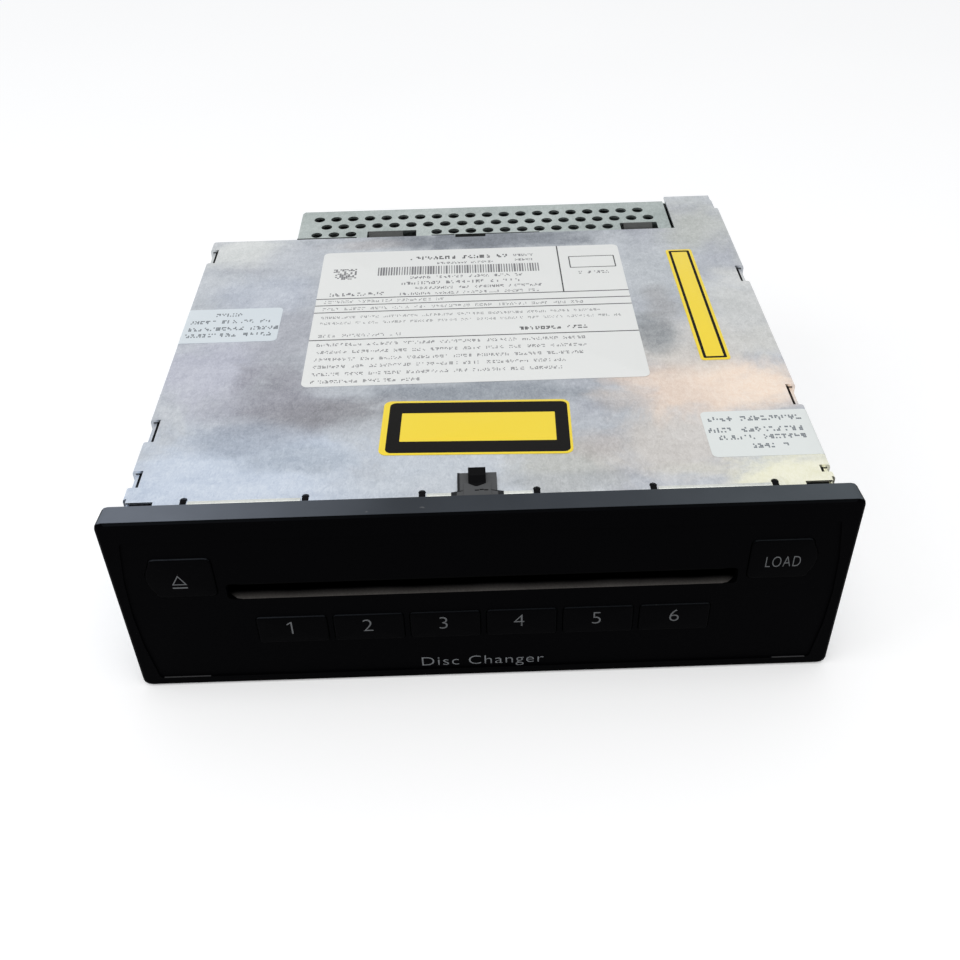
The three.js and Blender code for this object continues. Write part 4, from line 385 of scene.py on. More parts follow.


# Patches of the cover's tone, partly the plating's own uneven tone and partly painted reflections, such as the warm
# bright
# patches at the right front: middle X and Y, half sizes in X and Y, red, green, blue, strength
platePatches = [
    (-62, 16, 44, 26, 0.56, 0.63, 0.74, 0.9), (-54, 50, 26, 14, 0.34, 0.35, 0.4, 0.75),
    (-78, 72, 22, 22, 0.5, 0.51, 0.6, 0.7), (-56, 82, 14, 26, 0.38, 0.39, 0.44, 0.7),
    (-66, 112, 22, 14, 0.48, 0.52, 0.6, 0.7), (-80, 142, 20, 14, 0.7, 0.72, 0.71, 0.8),
    (-58, 134, 12, 12, 0.5, 0.53, 0.58, 0.7), (0, 53, 44, 6, 0.29, 0.32, 0.36, 0.85),
    (0, 16, 42, 12, 0.53, 0.57, 0.62, 0.8), (22, 20, 16, 14, 0.5, 0.5, 0.46, 0.7),
    (52, 26, 24, 20, 0.62, 0.59, 0.56, 0.85), (66, 52, 30, 16, 0.78, 0.64, 0.54, 0.9),
    (80, 52, 17, 14, 0.92, 0.78, 0.66, 0.85), (88, 76, 12, 10, 0.67, 0.67, 0.64, 0.7),
    (82, 14, 22, 13, 0.85, 0.84, 0.67, 0.95), (62, 76, 26, 14, 0.62, 0.6, 0.57, 0.8),
    (57, 108, 12, 26, 0.49, 0.52, 0.55, 0.75), (84, 96, 14, 30, 0.6, 0.61, 0.6, 0.8),
    (4, 144.5, 54, 9, 0.17, 0.19, 0.22, 0.9), (80, 150, 18, 24, 0.5, 0.52, 0.5, 0.8),
    (-36, 143, 16, 5, 0.44, 0.43, 0.44, 0.6), (53, 83, 7, 12, 0.27, 0.29, 0.31, 0.85),
    (-37, 46, 22, 9, 0.26, 0.26, 0.28, 0.78), (-54, 61, 14, 15, 0.28, 0.28, 0.32, 0.7),
    (-63, 34, 16, 8, 0.34, 0.38, 0.45, 0.7), (-46, 25, 18, 6, 0.4, 0.45, 0.52, 0.7),
    (22, 13, 20, 5, 0.4, 0.42, 0.44, 0.7), (32, 29, 9, 8, 0.46, 0.43, 0.42, 0.6),
    (40, 47, 9, 7, 0.56, 0.53, 0.51, 0.6), (56, 16, 13, 4, 0.64, 0.63, 0.58, 0.7),
    (58, 100, 6, 14, 0.37, 0.37, 0.38, 0.6), (76, 147, 10, 14, 0.42, 0.44, 0.42, 0.6),
]
finishes = {
    "bezel": mouldedBlack("blackBezel", moulding["color"]),
    "key": mouldedBlack("blackKeys", moulding["keyColor"], dustAndSheenAmount=0.2, dustAndSheenFrom=0, roughness=0.45),
    "felt": plainFinish("darkFelt", (0.1, 0.092, 0.087), 0.95, specular=0.05, grainScale=3500, bump=0.5),
    "plated_steel": zincSheet("zincCover", zinc["cover"], platePatches),
    "frame_steel": zincSheet("zincFrame", zinc["frame"]),
    "circuit_board": plainFinish("greenBoard", (0.02, 0.095, 0.045), 0.35),
    "socket_plastic": plainFinish("socketBlack", (0.02, 0.02, 0.022), 0.5),
    "rubber": plainFinish("softRubber", (0.016, 0.016, 0.016), 0.8, specular=0.3),
    "white_plastic": plainFinish("whiteAcetal", (0.7, 0.69, 0.64), 0.4),
    "gear_plastic": plainFinish("paleAcetal", (0.62, 0.56, 0.42), 0.4),
    "black_plastic": plainFinish("darkPlastic", (0.022, 0.022, 0.025), 0.45),
    "motor_steel": plainFinish("motorCan", (0.62, 0.63, 0.65), 0.28, metallic=1),
    "bronze": plainFinish("sinteredBronze", (0.48, 0.28, 0.12), 0.42, metallic=1),
    "shaft_steel": plainFinish("groundSteel", (0.68, 0.69, 0.71), 0.18, metallic=1),
    "pickup_metal": plainFinish("castMetal", (0.24, 0.25, 0.27), 0.45, metallic=0.8),
    "lens_glass": plainFinish("coatedLens", (0.25, 0.35, 0.5), 0.05),
}
slotOf = {part["node"]: part["material_slot"] for part in frame["record"]["subparts"]}
for name, made in nodes.items():
    made.data.materials.clear()
    made.data.materials.append(finishes[slotOf[name]])
stripZinc = zincSheet("zincStrip", zinc["strip"], smear=0.25)
print("finishes made:", len(finishes) + 1)

# Rear cover: one sheet cut flat with its holes, then folded down at the rear and at the left
perforated = {
    "frontY": 143.6, "leftX": -60.5, "rightX": 70.2, "wallRightX": 86.6, "rearY": 173.0, "topZ": 56.0, "bottomZ": 7.0,
    "sheet": 0.8, "bend": 1.0, "bendSteps": 6, "bendMargin": 0.03, "cheekFrom": 149.2, "cheekTo": 171.6,
    "relief": 0.6, "sharp": 30, "holeRadius": 1.92, "holeSamples": 28, "pitch": 6.0, "rowYs": (165.8, 159.8, 153.8),
    "firstXs": (-53.7, -50.7, -53.7), "lastX": 64.2, "web": 0.8, "slotCorner": 0.4, "openingCorner": 0.5,
    "slots": (((-36.0, 150.7), (-18.8, 155.5)), ((52.7, 150.6), (65.7, 156.0))),
    "openings": (((-42.3, 10.8), (-1.7, 24.4)), ((10.7, 10.8), (21.3, 21.4))),
}
bendArc = perforated["bend"] * math.pi / 2
rearBend, leftBend = perforated["rearY"] - perforated["bend"], perforated["leftX"] + perforated["bend"]
wallFrom = rearBend + bendArc


# Is each point inside the closed line: odd number of its edges crossed by a ray along X
def insideLine(points, ring):
    a, b = ring, np.roll(ring, -1, 0)
    x, y = points[:, None, 0], points[:, None, 1]
    spans = (a[:, 1] > y) != (b[:, 1] > y)
    rise = np.where(b[:, 1] == a[:, 1], 1e-9, b[:, 1] - a[:, 1])
    crossing = a[:, 0] + (y - a[:, 1]) / rise * (b[:, 0] - a[:, 0])
    return (spans & (x < crossing)).sum(1) % 2 == 1


# Flat place and depth under the outer face to the folded sheet: each bend turns its run into an angle, and what
# lies past it goes straight down
def foldedSheet(flat, depth):
    radius = perforated["bend"]
    past = flat[:, 1] - rearBend
    out = leftBend - flat[:, 0]
    rear = past > 0
    past, out = np.clip(past, 0, None), np.where(rear, 0, np.clip(out, 0, None))
    reach = radius - depth
    rearAngle, leftAngle = np.clip(past, 0, bendArc) / radius, np.clip(out, 0, bendArc) / radius
    x = np.where(out > 0, leftBend - reach * np.sin(leftAngle), flat[:, 0])
    y = np.where(rear, rearBend + reach * np.sin(rearAngle), flat[:, 1])
    z = perforated["topZ"] - radius + reach * np.cos(rearAngle + leftAngle)
    return joined(x, y, z - np.clip(past - bendArc, 0, None) - np.clip(out - bendArc, 0, None))


def sheetOutline():
    p = perforated
    drop = p["topZ"] - p["bend"] - p["bottomZ"]
    wallTo, cheekX = wallFrom + drop, leftBend - bendArc - drop
    return np.array([
        [leftBend, p["frontY"]], [p["rightX"], p["frontY"]], [p["rightX"], wallFrom], [p["wallRightX"], wallFrom],
        [p["wallRightX"], wallTo], [p["leftX"], wallTo], [p["leftX"], wallFrom],
        [leftBend, rearBend + p["relief"] * bendArc], [leftBend, p["cheekTo"]], [cheekX, p["cheekTo"]],
        [cheekX, p["cheekFrom"]], [leftBend, p["cheekFrom"]]])


def boxRing(low, high, corner):
    low, high = np.array(low), np.array(high)
    return (low + high) / 2 + roundedRing(*(high - low) / 2, corner, 3)


# The two slots, the round holes that keep clear of them, and the wall's openings laid flat
def sheetHoles():
    p = perforated
    places = np.array([[x, y] for y, first in zip(p["rowYs"], p["firstXs"])
                       for x in np.arange(first, p["lastX"] + 0.01, p["pitch"])])
    reach = p["holeRadius"] + p["web"]
    clear = np.ones(len(places), bool)
    for low, high in p["slots"]:
        clear &= ~((places > np.array(low) - reach) & (places < np.array(high) + reach)).all(1)
    angle = np.linspace(0, 2 * math.pi, p["holeSamples"], endpoint=False)
    circle = p["holeRadius"] * joined(np.cos(angle), np.sin(angle))
    wallZero = wallFrom + p["topZ"] - p["bend"]
    openings = [((low[0], wallZero - high[1]), (high[0], wallZero - low[1])) for low, high in p["openings"]]
    return [*(boxRing(low, high, p["slotCorner"]) for low, high in p["slots"]),
            *(place + circle for place in places[clear]),
            *(boxRing(low, high, p["openingCorner"]) for low, high in openings)]


# The flat sheet as triangles between its outline, its holes and lines along the bends
def cutSheet(outline, holes):
    p = perforated
    shares = np.concatenate([[-p["bendMargin"]], np.linspace(0, 1, p["bendSteps"] + 1), [1 + p["bendMargin"]]])
    rearLines = [[[leftBend - 2, rearBend + s], [p["rightX"] + 1, rearBend + s]] for s in shares * bendArc]
    leftLines = [[[leftBend - s, p["cheekFrom"] - 1], [leftBend - s, p["cheekTo"] + 0.2]] for s in shares * bendArc]
    points, edges = [], []
    for ring in (outline, *holes):
        index = np.arange(len(ring)) + len(points)
        points += ring.tolist()
        edges += joined(index, np.roll(index, -1)).tolist()
    for line in (*rearLines, *leftLines):
        edges.append([len(points), len(points) + 1])
        points += line
    found, _, triangles, _, _, _ = delaunay_2d_cdt([Vector(point) for point in points], edges, [], 0, 1e-5)
    found = np.array([tuple(point) for point in found])
    triangles = np.array([list(triangle) for triangle in triangles])
    middles = found[triangles].mean(1)
    keep = insideLine(middles, outline)
    for ring in holes:
        keep &= ~insideLine(middles, ring)
    return found, triangles[keep]


# Both faces of the sheet, folded, and walls along every edge that only one triangle has
def perforatedCover():
    found, triangles = cutSheet(sheetOutline(), sheetHoles())
    pairs = np.concatenate([triangles[:, [0, 1]], triangles[:, [1, 2]], triangles[:, [2, 0]]])
    _, where, count = np.unique(np.sort(pairs, 1), axis=0, return_index=True, return_counts=True)
    rim = pairs[where[count == 1]]
    total = len(found)
    walls = joined(rim[:, 1], rim[:, 0], rim[:, 0] + total, rim[:, 1] + total)
    faces = triangles.tolist() + (triangles[:, ::-1] + total).tolist() + walls.tolist()
    used = np.unique(np.concatenate([triangles.ravel(), triangles.ravel() + total]))
    order = np.full(2 * total, -1)
    order[used] = np.arange(len(used))
    both = np.vstack([foldedSheet(found, 0.0), foldedSheet(found, perforated["sheet"])])
    mesh = newMesh("perforated_cover", toFrame(both[used]), [order[face].tolist() for face in faces])
    made = finished("perforated_cover", mesh, stripZinc, perforated["sharp"], merge=False)
    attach(made, "root")
    return made


# Lanced tabs under the two slots: both ends in X, and the middle line's (y, z) points
tabs = {
    "left_tab": ((-35.6, -23.6), (
        (155.7, 55.6), (155.2, 55.5), (154.8, 55.2), (154.4, 54.7), (154.0, 54.3), (153.4, 54.1), (152.4, 54.1),
        (151.4, 54.1))),
    "right_tab": ((54.0, 64.0), (
        (156.2, 55.6), (155.0, 55.6), (154.5, 55.45), (154.1, 55.1), (153.8, 54.6), (153.6, 54.1), (153.5, 53.6))),
}
tabShade = plainFinish("shadedZinc", (0.055, 0.058, 0.057), 0.6, metallic=0.4, mottle=0.3)


# A tab's middle line moved half a sheet to each side
def slotTab(name, ends, line):
    line = np.array(line, float)
    along = np.gradient(line, axis=0)
    normal = joined(-along[:, 1], along[:, 0]) / np.linalg.norm(along, axis=-1, keepdims=True)
    half = perforated["sheet"] / 2
    ring = np.vstack([line + half * normal, (line - half * normal)[::-1]])
    return carried(name, ends, ring, tabShade, sharp=50)


for made in (perforatedCover(), *(slotTab(name, *tab) for name, tab in tabs.items())):
    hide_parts("rear_cover")

# Painted shade in the gaps behind the top cover's rear edge and in a slot across it: dark strips (fromX, toX, fromY,
# toY) counted from that edge, and their height over the rear cover
gaps = {
    "tone": (0.008, 0.009, 0.009), "floor": -0.05,
    "rear_gaps": (((-60.0, -39.4, 0.02, 0.8), (-13.4, -5.4, 0.02, 0.6), (5.2, 24.0, 0.02, 0.6)), 0.97),
    "rear_slot": (((-5.2, 5.2, -1.7, 0.5),), 1.03),
}
gapShade = plainFinish("gapShade", gaps["tone"], 0.8, specular=0.05)
cover = nodes["top_cover"]
coverRearY = max((cover.matrix_world @ corner.co).y for corner in cover.data.vertices if corner.co.x < 0) - frontY
for name in ("rear_gaps", "rear_slot"):
    strips, height = np.array(gaps[name][0]), gaps[name][1]
    bars(name, joined(strips[:, :2].mean(1), coverRearY / mm + strips[:, 2:].mean(1)),
         joined(np.ptp(strips[:, :2], 1), np.ptp(strips[:, 2:], 1)) / 2,
         perforated["topZ"] + gaps["floor"], perforated["topZ"] + height, gapShade)
print("rear cover folded, gaps at", round(coverRearY / mm, 2))

# Front hems: the cover's front edge is rolled down between its relief holes; lifts are over the cover's top
hem = {
    "spans": ((-72.3, -44.3), (-13.1, -6.9), (4.9, 13.1), (44.3, 72.3)), "centre": (9.0, 56.2), "radius": 1.06,
    "skin": 0.12, "lifts": (0.02, -0.03), "rearY": 9.9, "lowZ": 55.0, "steps": 9,
    "tone": ((0.55, 0.57, 0.55), (0.61, 0.63, 0.6), (0.68, 0.7, 0.67)),
}
# The hems' zinc is paler than the cover's, a painted highlight along the rolled edge
hemHighlightZinc = zincSheet("zincHemPaintedHighlight", hem["tone"], smear=0.3)
coverLow, coverHigh = nodeBox("top_cover")
coverTop = coverHigh[2]


# Flat from the cover's top, a quarter circle, then straight down; the inner line comes back under it
def hemStrip(name, fromX, toX):
    angle = np.linspace(0, math.pi / 2, hem["steps"])
    rings = []
    for radius, lift in zip((hem["radius"], hem["radius"] - hem["skin"]), hem["lifts"]):
        curve = joined(hem["centre"][0] - radius * np.sin(angle), hem["centre"][1] + radius * np.cos(angle))
        rings.append(np.vstack([[[hem["rearY"], coverTop + lift]], curve, [[curve[-1, 0], hem["lowZ"]]]]))
    carried(name, (fromX, toX), np.vstack([rings[0], rings[1][::-1]]), hemHighlightZinc)


for i, span in enumerate(hem["spans"]):
    hemStrip(f"front_hem_{i + 1}", *span)

# Slot lips: felt laid over the slot's edges, a little wavy, thinning out at the slot's round ends
lip = {
    "half": 65.7, "samples": 90, "steps": 12, "bow": 0.34, "arch": 0.8, "wave": 0.1, "longWave": 0.19,
    "shortWave": 0.43, "shortShare": 0.6, "frontY": 0.46, "endY": 2.87, "drawFrom": 61.5, "drawOver": 3.4,
    "centreZ": 34.5, "faceZ": 32.02, "rise": 0.22, "ledge": (2.72, 31.84, 30.45),
    "frontTone": (0.056, 0.052, 0.049), "paintedShadeTone": (0.003, 0.003, 0.003), "upper": (0.003, 0.003, 0.003),
    "fadeFrom": 0.5, "fadeTo": 2.4,
}


# Felt in its front tone along the front edge, darkening with depth into painted shade under the slot's upper edge
def lipFinish(name, frontTone, paintedShadeTone):
    material, tree, shader = newMaterial(name)
    place = objectPlace(tree)
    depth = addNode(tree, "SeparateXYZ", {"Vector": place}).outputs["Y"]
    near, far = (float(toFrame((0, y, 0))[1]) for y in (lip["fadeFrom"], lip["fadeTo"]))
    color = mixed(tree, spread(tree, depth, near, far, 0, 1), frontTone, paintedShadeTone)
    fibre = noise(tree, place, 2200, 3, 0.6)
    color = grained(tree, 0.4, color, fibre, 0.3, 0.7, 0.25, 0.8)
    setInputs(tree, shader, {"Base Color": color, "Specular IOR Level": 0.02, "Roughness": 0.95})
    bumped(tree, shader, fibre, 0.5, 0.00004)
    return material


# A low arch from the panel's face to the felt's rear, whose front draws back near the ends; side is 1 for the lower
# lip and -1 for the upper, mirrored about the slot's middle
def slotLip(name, node, side, finish):
    xs = np.linspace(-lip["half"], lip["half"], lip["samples"])
    ends = np.clip((np.abs(xs) - lip["drawFrom"]) / lip["drawOver"], 0, 1) ** 2
    front = lip["frontY"] + ends * (lip["endY"] - lip["frontY"])
    rear = nodeBox(node)[1][1]
    share = np.linspace(0, 1, lip["steps"])
    y = front[:, None] + (rear - front)[:, None] * share
    wave = lip["wave"] * (np.sin(xs * lip["longWave"] + side) + lip["shortShare"] * np.sin(xs * lip["shortWave"]))
    height = (lip["bow"] + wave)[:, None] * np.sin(math.pi * share) ** lip["arch"]
    z = lip["faceZ"] + lip["rise"] * np.sin(math.pi * np.clip(share * 2, 0, 1) / 2) + height
    ledgeY, ledgeZ, lowZ = lip["ledge"]
    under = ((rear, lowZ), (ledgeY, lowZ), (ledgeY, ledgeZ), (front - 0.01, ledgeZ))
    under = np.stack([joined(depth * np.ones(len(xs)), level) for depth, level in under], 1)
    ring = np.concatenate([joined(y, z), under], 1)
    if side < 0:
        ring[..., 1] = 2 * lip["centreZ"] - ring[..., 1]
    made = carried(name, xs, ring, finish, sharp=60)
    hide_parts(node)


# The lower lip's felt darkens inward as painted shade; the upper lip is painted near-black shade throughout
slotLip("lower_lip", "slot_felt_lower", 1, lipFinish("feltWithPaintedShade", lip["frontTone"], lip["paintedShadeTone"]))
slotLip("upper_lip", "slot_felt_upper", -1, lipFinish("shadedFelt", lip["upper"], lip["paintedShadeTone"]))

# Key caps: each key's face and rim over the CAD key, with a soft edge that catches the light
cap = {
    "edge": ((0.42, 0.03), (0.24, 0.05), (0.1, 0.12), (0.02, 0.24), (-0.02, 0.4), (-0.02, 0.9)),
    "numberHalfZ": 4.6, "numberCorner": 0.8, "wideMiddle": (75.05, 40.0), "wideHalf": (7.75, 6.4), "wideCorner": 1.6,
    "wideSteps": 8, "sideX": 82.8, "bulge": 1.5, "straightHalf": 4.8, "share": 0.9, "bowSteps": 9,
}


# A key cap: its outline in x and z carried back from the face
def keyCap(name, outline, body):
    rows = slab(outline, cap["edge"])
    skin(name, rows[..., [0, 2, 1]], finishes["key"], body)


# Number keys are rounded rectangles; a wide key's outer side bows out as a parabola over its height
for i in range(6):
    low, high = nodeBox(f"disc_button_{i + 1}")
    middle = ((low + high) / 2)[[0, 2]]
    ring = middle + roundedRing((high - low)[0] / 2, cap["numberHalfZ"], cap["numberCorner"])
    keyCap(f"key_cap_{i + 1}", ring, f"disc_button_{i + 1}")
for name, side in (("eject", -1), ("load", 1)):
    ring = np.array(cap["wideMiddle"]) + roundedRing(*cap["wideHalf"], cap["wideCorner"], cap["wideSteps"])
    share = np.linspace(cap["share"], -cap["share"], cap["bowSteps"])
    outer = joined(cap["sideX"] + cap["bulge"] * (1 - share * share),
                   cap["wideMiddle"][1] + cap["straightHalf"] * share)
    ring = np.vstack([ring, outer[::-1]]) * [side, 1]
    keyCap(f"{name}_cap", ring[::side], f"{name}_button")

# Painted highlight on the ledge at the foot of the bezel's panel, near its ends: (middle X, half length)
ridge = {
    "places": ((-81.0, 6.4), (83.0, 4.8)), "tone": (0.05, 0.05, 0.052), "ledge": (0.02, 0.38), "z": (2.95, 3.04),
}
ledgeHighlight = plainFinish("paintedLedgeHighlight", ridge["tone"], 0.6, specular=0.05)
ledgeY = sum(ridge["ledge"]) / 2
for i, (middleX, halfX) in enumerate(ridge["places"]):
    bars(f"panel_ridge_{i + 1}", [(middleX, ledgeY)], [(halfX, ledgeY - ridge["ledge"][0])], *ridge["z"], ledgeHighlight)
print("front pieces made")

# Latch: a grey stepped plate with a foot, a black hook with a wedge before it, dark bars of painted shade along its
# edges and black bars of painted shade where small slots cross the step. Heights are the base's and the plate's,
# step's and hook's tops; the foot, plate, step and hook have a half width and places along Y
latch = {
    "centreX": -0.52, "heights": (57.1, 58.2, 58.42, 59.8), "foot": (6.5, 6.8, 8.7), "plate": (4.95, 16.1),
    "step": (3.4, 11.9), "hook": (2.19, 11.7, 13.1, 16.4), "sunk": 0.2, "bevel": 0.15,
    "wedge": (0.1, 1.2, 0.3), "wedgeXs": (-0.5, 0.1), "wedgeHeight": 0.2, "stepShade": 0.14, "shadeLift": 0.04,
    "shades": ((-4.65, 12.5, 0.28, 3.6), (-5.8, 8.0, 0.7, 0.6), (5.8, 8.0, 0.7, 0.6)),
    "slotShadeXs": (-0.1, 1.1, 2.2), "slotShadeYs": (8.9, 9.1, 8.9), "slotShadeHalf": (0.5, 0.12), "slotShadeZ": (-0.1, 0.12),
    "grey": (0.08, 0.082, 0.085), "shade": (0.022, 0.023, 0.025), "black": (0.0035, 0.0035, 0.004),
}
latchGrey = plainFinish("latchGrey", latch["grey"], 0.6, specular=0.1)
latchShade = plainFinish("latchShade", latch["shade"], 0.6, specular=0.05)
latchBlack = plainFinish("latchBlack", latch["black"], 0.6, specular=0.03)


# A low flat piece with a straight-sided outline, its top edge softened
def lowPlate(name, outline, baseZ, topZ, material, edge=0.08):
    outline = np.array(outline, float) + [latch["centreX"], 0]
    rows = slab(outline, [*roundedEdge(topZ - baseZ, edge, 2), (0, 0)])
    rows[..., 2] += baseZ
    return skin(name, rows, material)


centre, baseZ, plateTop, stepTop, hookTop = latch["centreX"], *latch["heights"]
footHalf, footFrom, footTo = latch["foot"]
plateHalf, plateTo = latch["plate"]
stepHalf, stepTo = latch["step"]
hookHalf, hookFrom, hookTopFrom, hookTo = latch["hook"]
wedgeTo, wedgeTip, wedgeRear = latch["wedge"]
plateRing = [(-footHalf, footFrom), (footHalf, footFrom), (footHalf, footTo), (plateHalf, footTo),
             (plateHalf, plateTo), (-plateHalf, plateTo), (-plateHalf, footTo), (-footHalf, footTo)]
stepRing = [(-stepHalf, footFrom), (stepHalf, footFrom), (stepHalf, stepTo), (-stepHalf, stepTo)]
wedgeRing = [(-hookHalf, hookFrom - wedgeTo), *((x, hookFrom - wedgeTip) for x in latch["wedgeXs"]),
             (hookHalf, hookFrom - wedgeTo), (hookHalf, hookFrom + wedgeRear), (-hookHalf, hookFrom + wedgeRear)]
hookSide = [(hookFrom, plateTop - latch["sunk"]), (hookFrom, plateTop), (hookTopFrom, hookTop),
            (hookTo - latch["bevel"], hookTop), (hookTo, hookTop - latch["bevel"]), (hookTo, baseZ)]
shades = np.array([*latch["shades"], (0, stepTo, stepHalf, latch["stepShade"])])
# Black bars of painted shade where small slots cross the step, standing for the slots' darkness
slotShades = joined(centre + np.array(latch["slotShadeXs"]), latch["slotShadeYs"])
clip = [
    lowPlate("latch_plate", plateRing, baseZ, plateTop, latchGrey),
    lowPlate("latch_step", stepRing, plateTop, stepTop, latchGrey),
    lowPlate("latch_wedge", wedgeRing, stepTop, stepTop + latch["wedgeHeight"], latchBlack),
    carried("latch_hook", (centre - hookHalf, centre + hookHalf), hookSide, latchBlack),
    bars("latch_shades", shades[:, :2] + [centre, 0], shades[:, 2:], plateTop - latch["sunk"],
         plateTop + latch["shadeLift"], latchShade),
    bars("latch_slot_shades", slotShades, np.tile(latch["slotShadeHalf"], (3, 1)), *(stepTop + z for z in latch["slotShadeZ"]), latchBlack),
]
for made in clip:
    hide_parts("bezel_latch")

# Cover's front edge: dark plates of painted shade fill the relief slits, and skins narrow the two corner notches to
# thin
# gaps. Fill and skin: corner and thickness; their places count from the cover's edges
coverEdge = {
    "fillShares": (0.16, 0.485, 0.825), "fillHalf": (0.85, 1.15), "fill": (0.6, 0.31), "fillDepth": 0.3,
    "skinX": 4.65, "skinY": 2.5, "skinHalf": (3.55, 0.8), "skin": (0.1, 0.6), "skinDepth": 0.59,
}
reliefShade = plainFinish("paintedReliefShade", (0.006, 0.006, 0.007), 0.9, specular=0.05)
sides = ((-1, "left"), (1, "right"))
for share in coverEdge["fillShares"]:
    for side, sideName in sides:
        middle = (side * share * coverHigh[0], coverLow[1] + coverEdge["fillHalf"][1])
        flatPlate(f"relief_shade_fill_{sideName}_{round(1000 * share)}", middle, coverEdge["fillHalf"], *coverEdge["fill"],
                  coverTop - coverEdge["fillDepth"], reliefShade)
for side, sideName in sides:
    middle = (side * (coverHigh[0] - coverEdge["skinX"]), coverLow[1] + coverEdge["skinY"])
    flatPlate(f"corner_skin_{sideName}", middle, coverEdge["skinHalf"], *coverEdge["skin"],
              coverTop - coverEdge["skinDepth"], finishes["plated_steel"], slotName="plated_steel")

# Labels on the cover
label = {
    "low": (-49.4, 58.2), "high": (49.5, 138.0), "corner": 2.0, "thickness": 0.12, "inkZ": (-0.01, 0.02),
    "paper": (0.81, 0.82, 0.805), "ink": (0.06, 0.06, 0.065), "faintInk": (0.2, 0.2, 0.21),
    "ruleYs": (107.1, 103.0, 98.7, 82.7), "ruleWidth": 0.42, "dividerX": 29.0,
    "box": ((39.9, 126.5), ((7.6, 3.9), 0.3), ((7.25, 3.55), 0.2)), "boxThickness": 0.03,
    "stripes": (-30.5, 22.2, 0.86), "stripeY": 124.0, "stripeHalfX": (0.12, 0.34), "stripeHalfY": 2.7,
    "cells": (11, 10), "cellFrom": (-45.0, 119.7), "cellPitch": 0.7, "cellHalf": 0.31, "cellShare": 0.55,
}
paper = plainFinish("paperLabel", label["paper"], 0.5, mottle=0.06, specular=0.3)
ink = plainFinish("darkInk", label["ink"], 0.5, mottle=0.05, specular=0.2)
faintInk = plainFinish("faintInk", label["faintInk"], 0.5, mottle=0.05, specular=0.2)
labelLow, labelHigh = np.array(label["low"]), np.array(label["high"])
labelMiddle, labelHalf = (labelLow + labelHigh) / 2, (labelHigh - labelLow) / 2
flatPlate("paper_label", labelMiddle, labelHalf, label["corner"], label["thickness"], coverTop, paper)
paperTop = coverTop + label["thickness"]
inkZs = [paperTop + lift for lift in label["inkZ"]]
ruleHalf, ruleYs = label["ruleWidth"] / 2, label["ruleYs"]
ruleCentres = [(labelMiddle[0], y) for y in ruleYs] + [(label["dividerX"], (ruleYs[0] + labelHigh[1]) / 2)]
ruleHalves = [(labelHalf[0], ruleHalf)] * len(ruleYs) + [(ruleHalf, (labelHigh[1] - ruleYs[0]) / 2)]
bars("label_rules", ruleCentres, ruleHalves, *inkZs, ink)

# Rows of print: start, end, middle height and print height, after a group's share of inked squares and thickness.
# A grain's sizes count in print heights
rowGroups = {
    "label_small_print": (0.5, 0.9, faintInk, [
        (-47, 33.2, 80.0, 1.7), (-47, 32.8, 76.0, 1.7), (-47, 31.3, 72.0, 1.7), (-47, 26.6, 68.2, 1.7),
        (-47, 26.6, 64.3, 1.7), (-47, -16, 60.5, 1.7)]),
    "label_middle_print": (0.5, 0.8, faintInk, [
        (-47, -9.3, 105.1, 1.7), (-47, 34.5, 100.7, 1.7), (-47, 39.9, 95.6, 1.5), (-47, 45, 92.2, 1.5),
        (-47, -21, 85.0, 1.8)]),
    "label_upper_print": (0.5, 1.0, faintInk, [
        (-11.4, 8, 128.6, 1.4), (14, 21.4, 132.5, 1.7), (14.4, 20.2, 129.3, 1.5), (-20.1, 16.4, 119.3, 1.7),
        (-22.9, 15, 115.7, 2.0), (-18.3, 22.6, 112.3, 1.7), (-23.5, 21.5, 108.9, 1.6), (-45.6, -28.4, 109.6, 2.2),
        (34.7, 45.9, 119.3, 1.8)]),
    "label_bold_marks": (0.55, 1.0, ink, [(13.7, 33.7, 86.0, 2.0), (-20.4, 11.3, 132.4, 2.4)]),
}
printGrain = {"pitch": 0.8, "runs": (3, 10), "columns": 0.21, "levels": 0.31, "half": (0.095, 0.135)}


# Print as fine grains that spell nothing: each cell of a row holds a few of nine squares, drawn by lot, and empty
# cells break the row into runs
def markRows(rows, share=0.5, thin=1.0):
    centres, halves = [], []
    for fromX, toX, y, size in rows:
        pitch = printGrain["pitch"] * size
        count = int(round((toX - fromX) / pitch))
        breaks = np.cumsum(random.integers(*printGrain["runs"], count) + 1)
        inked = ~np.isin(np.arange(count), breaks)
        cell, column, level = np.nonzero((random.random((count, 3, 3)) < share) & inked[:, None, None])
        x = fromX + pitch * (cell + 0.5) + printGrain["columns"] * size * (column - 1)
        centres.append(joined(x, y + printGrain["levels"] * size * (level - 1)))
        halves.append(np.tile([half * size * thin for half in printGrain["half"]], (len(cell), 1)))
    return np.vstack(centres), np.vstack(halves)


for name, (share, thin, material, rows) in rowGroups.items():
    bars(name, *markRows(rows, share, thin), *inkZs, material)
stripeX = np.arange(*label["stripes"])
stripeHalf = random.uniform(*label["stripeHalfX"], len(stripeX))
bars("label_stripes", joined(stripeX, label["stripeY"]), joined(stripeHalf, label["stripeHalfY"]), *inkZs, faintInk)
cells = joined(*np.meshgrid(*map(np.arange, label["cells"]))).reshape(-1, 2)
cells = cells[random.random(len(cells)) < label["cellShare"]]
bars("label_cells", np.array(label["cellFrom"]) + cells * label["cellPitch"],
     np.full((len(cells), 2), label["cellHalf"]), *inkZs, faintInk)
flatFrame("label_box", *label["box"], label["boxThickness"], inkZs[0], ink)

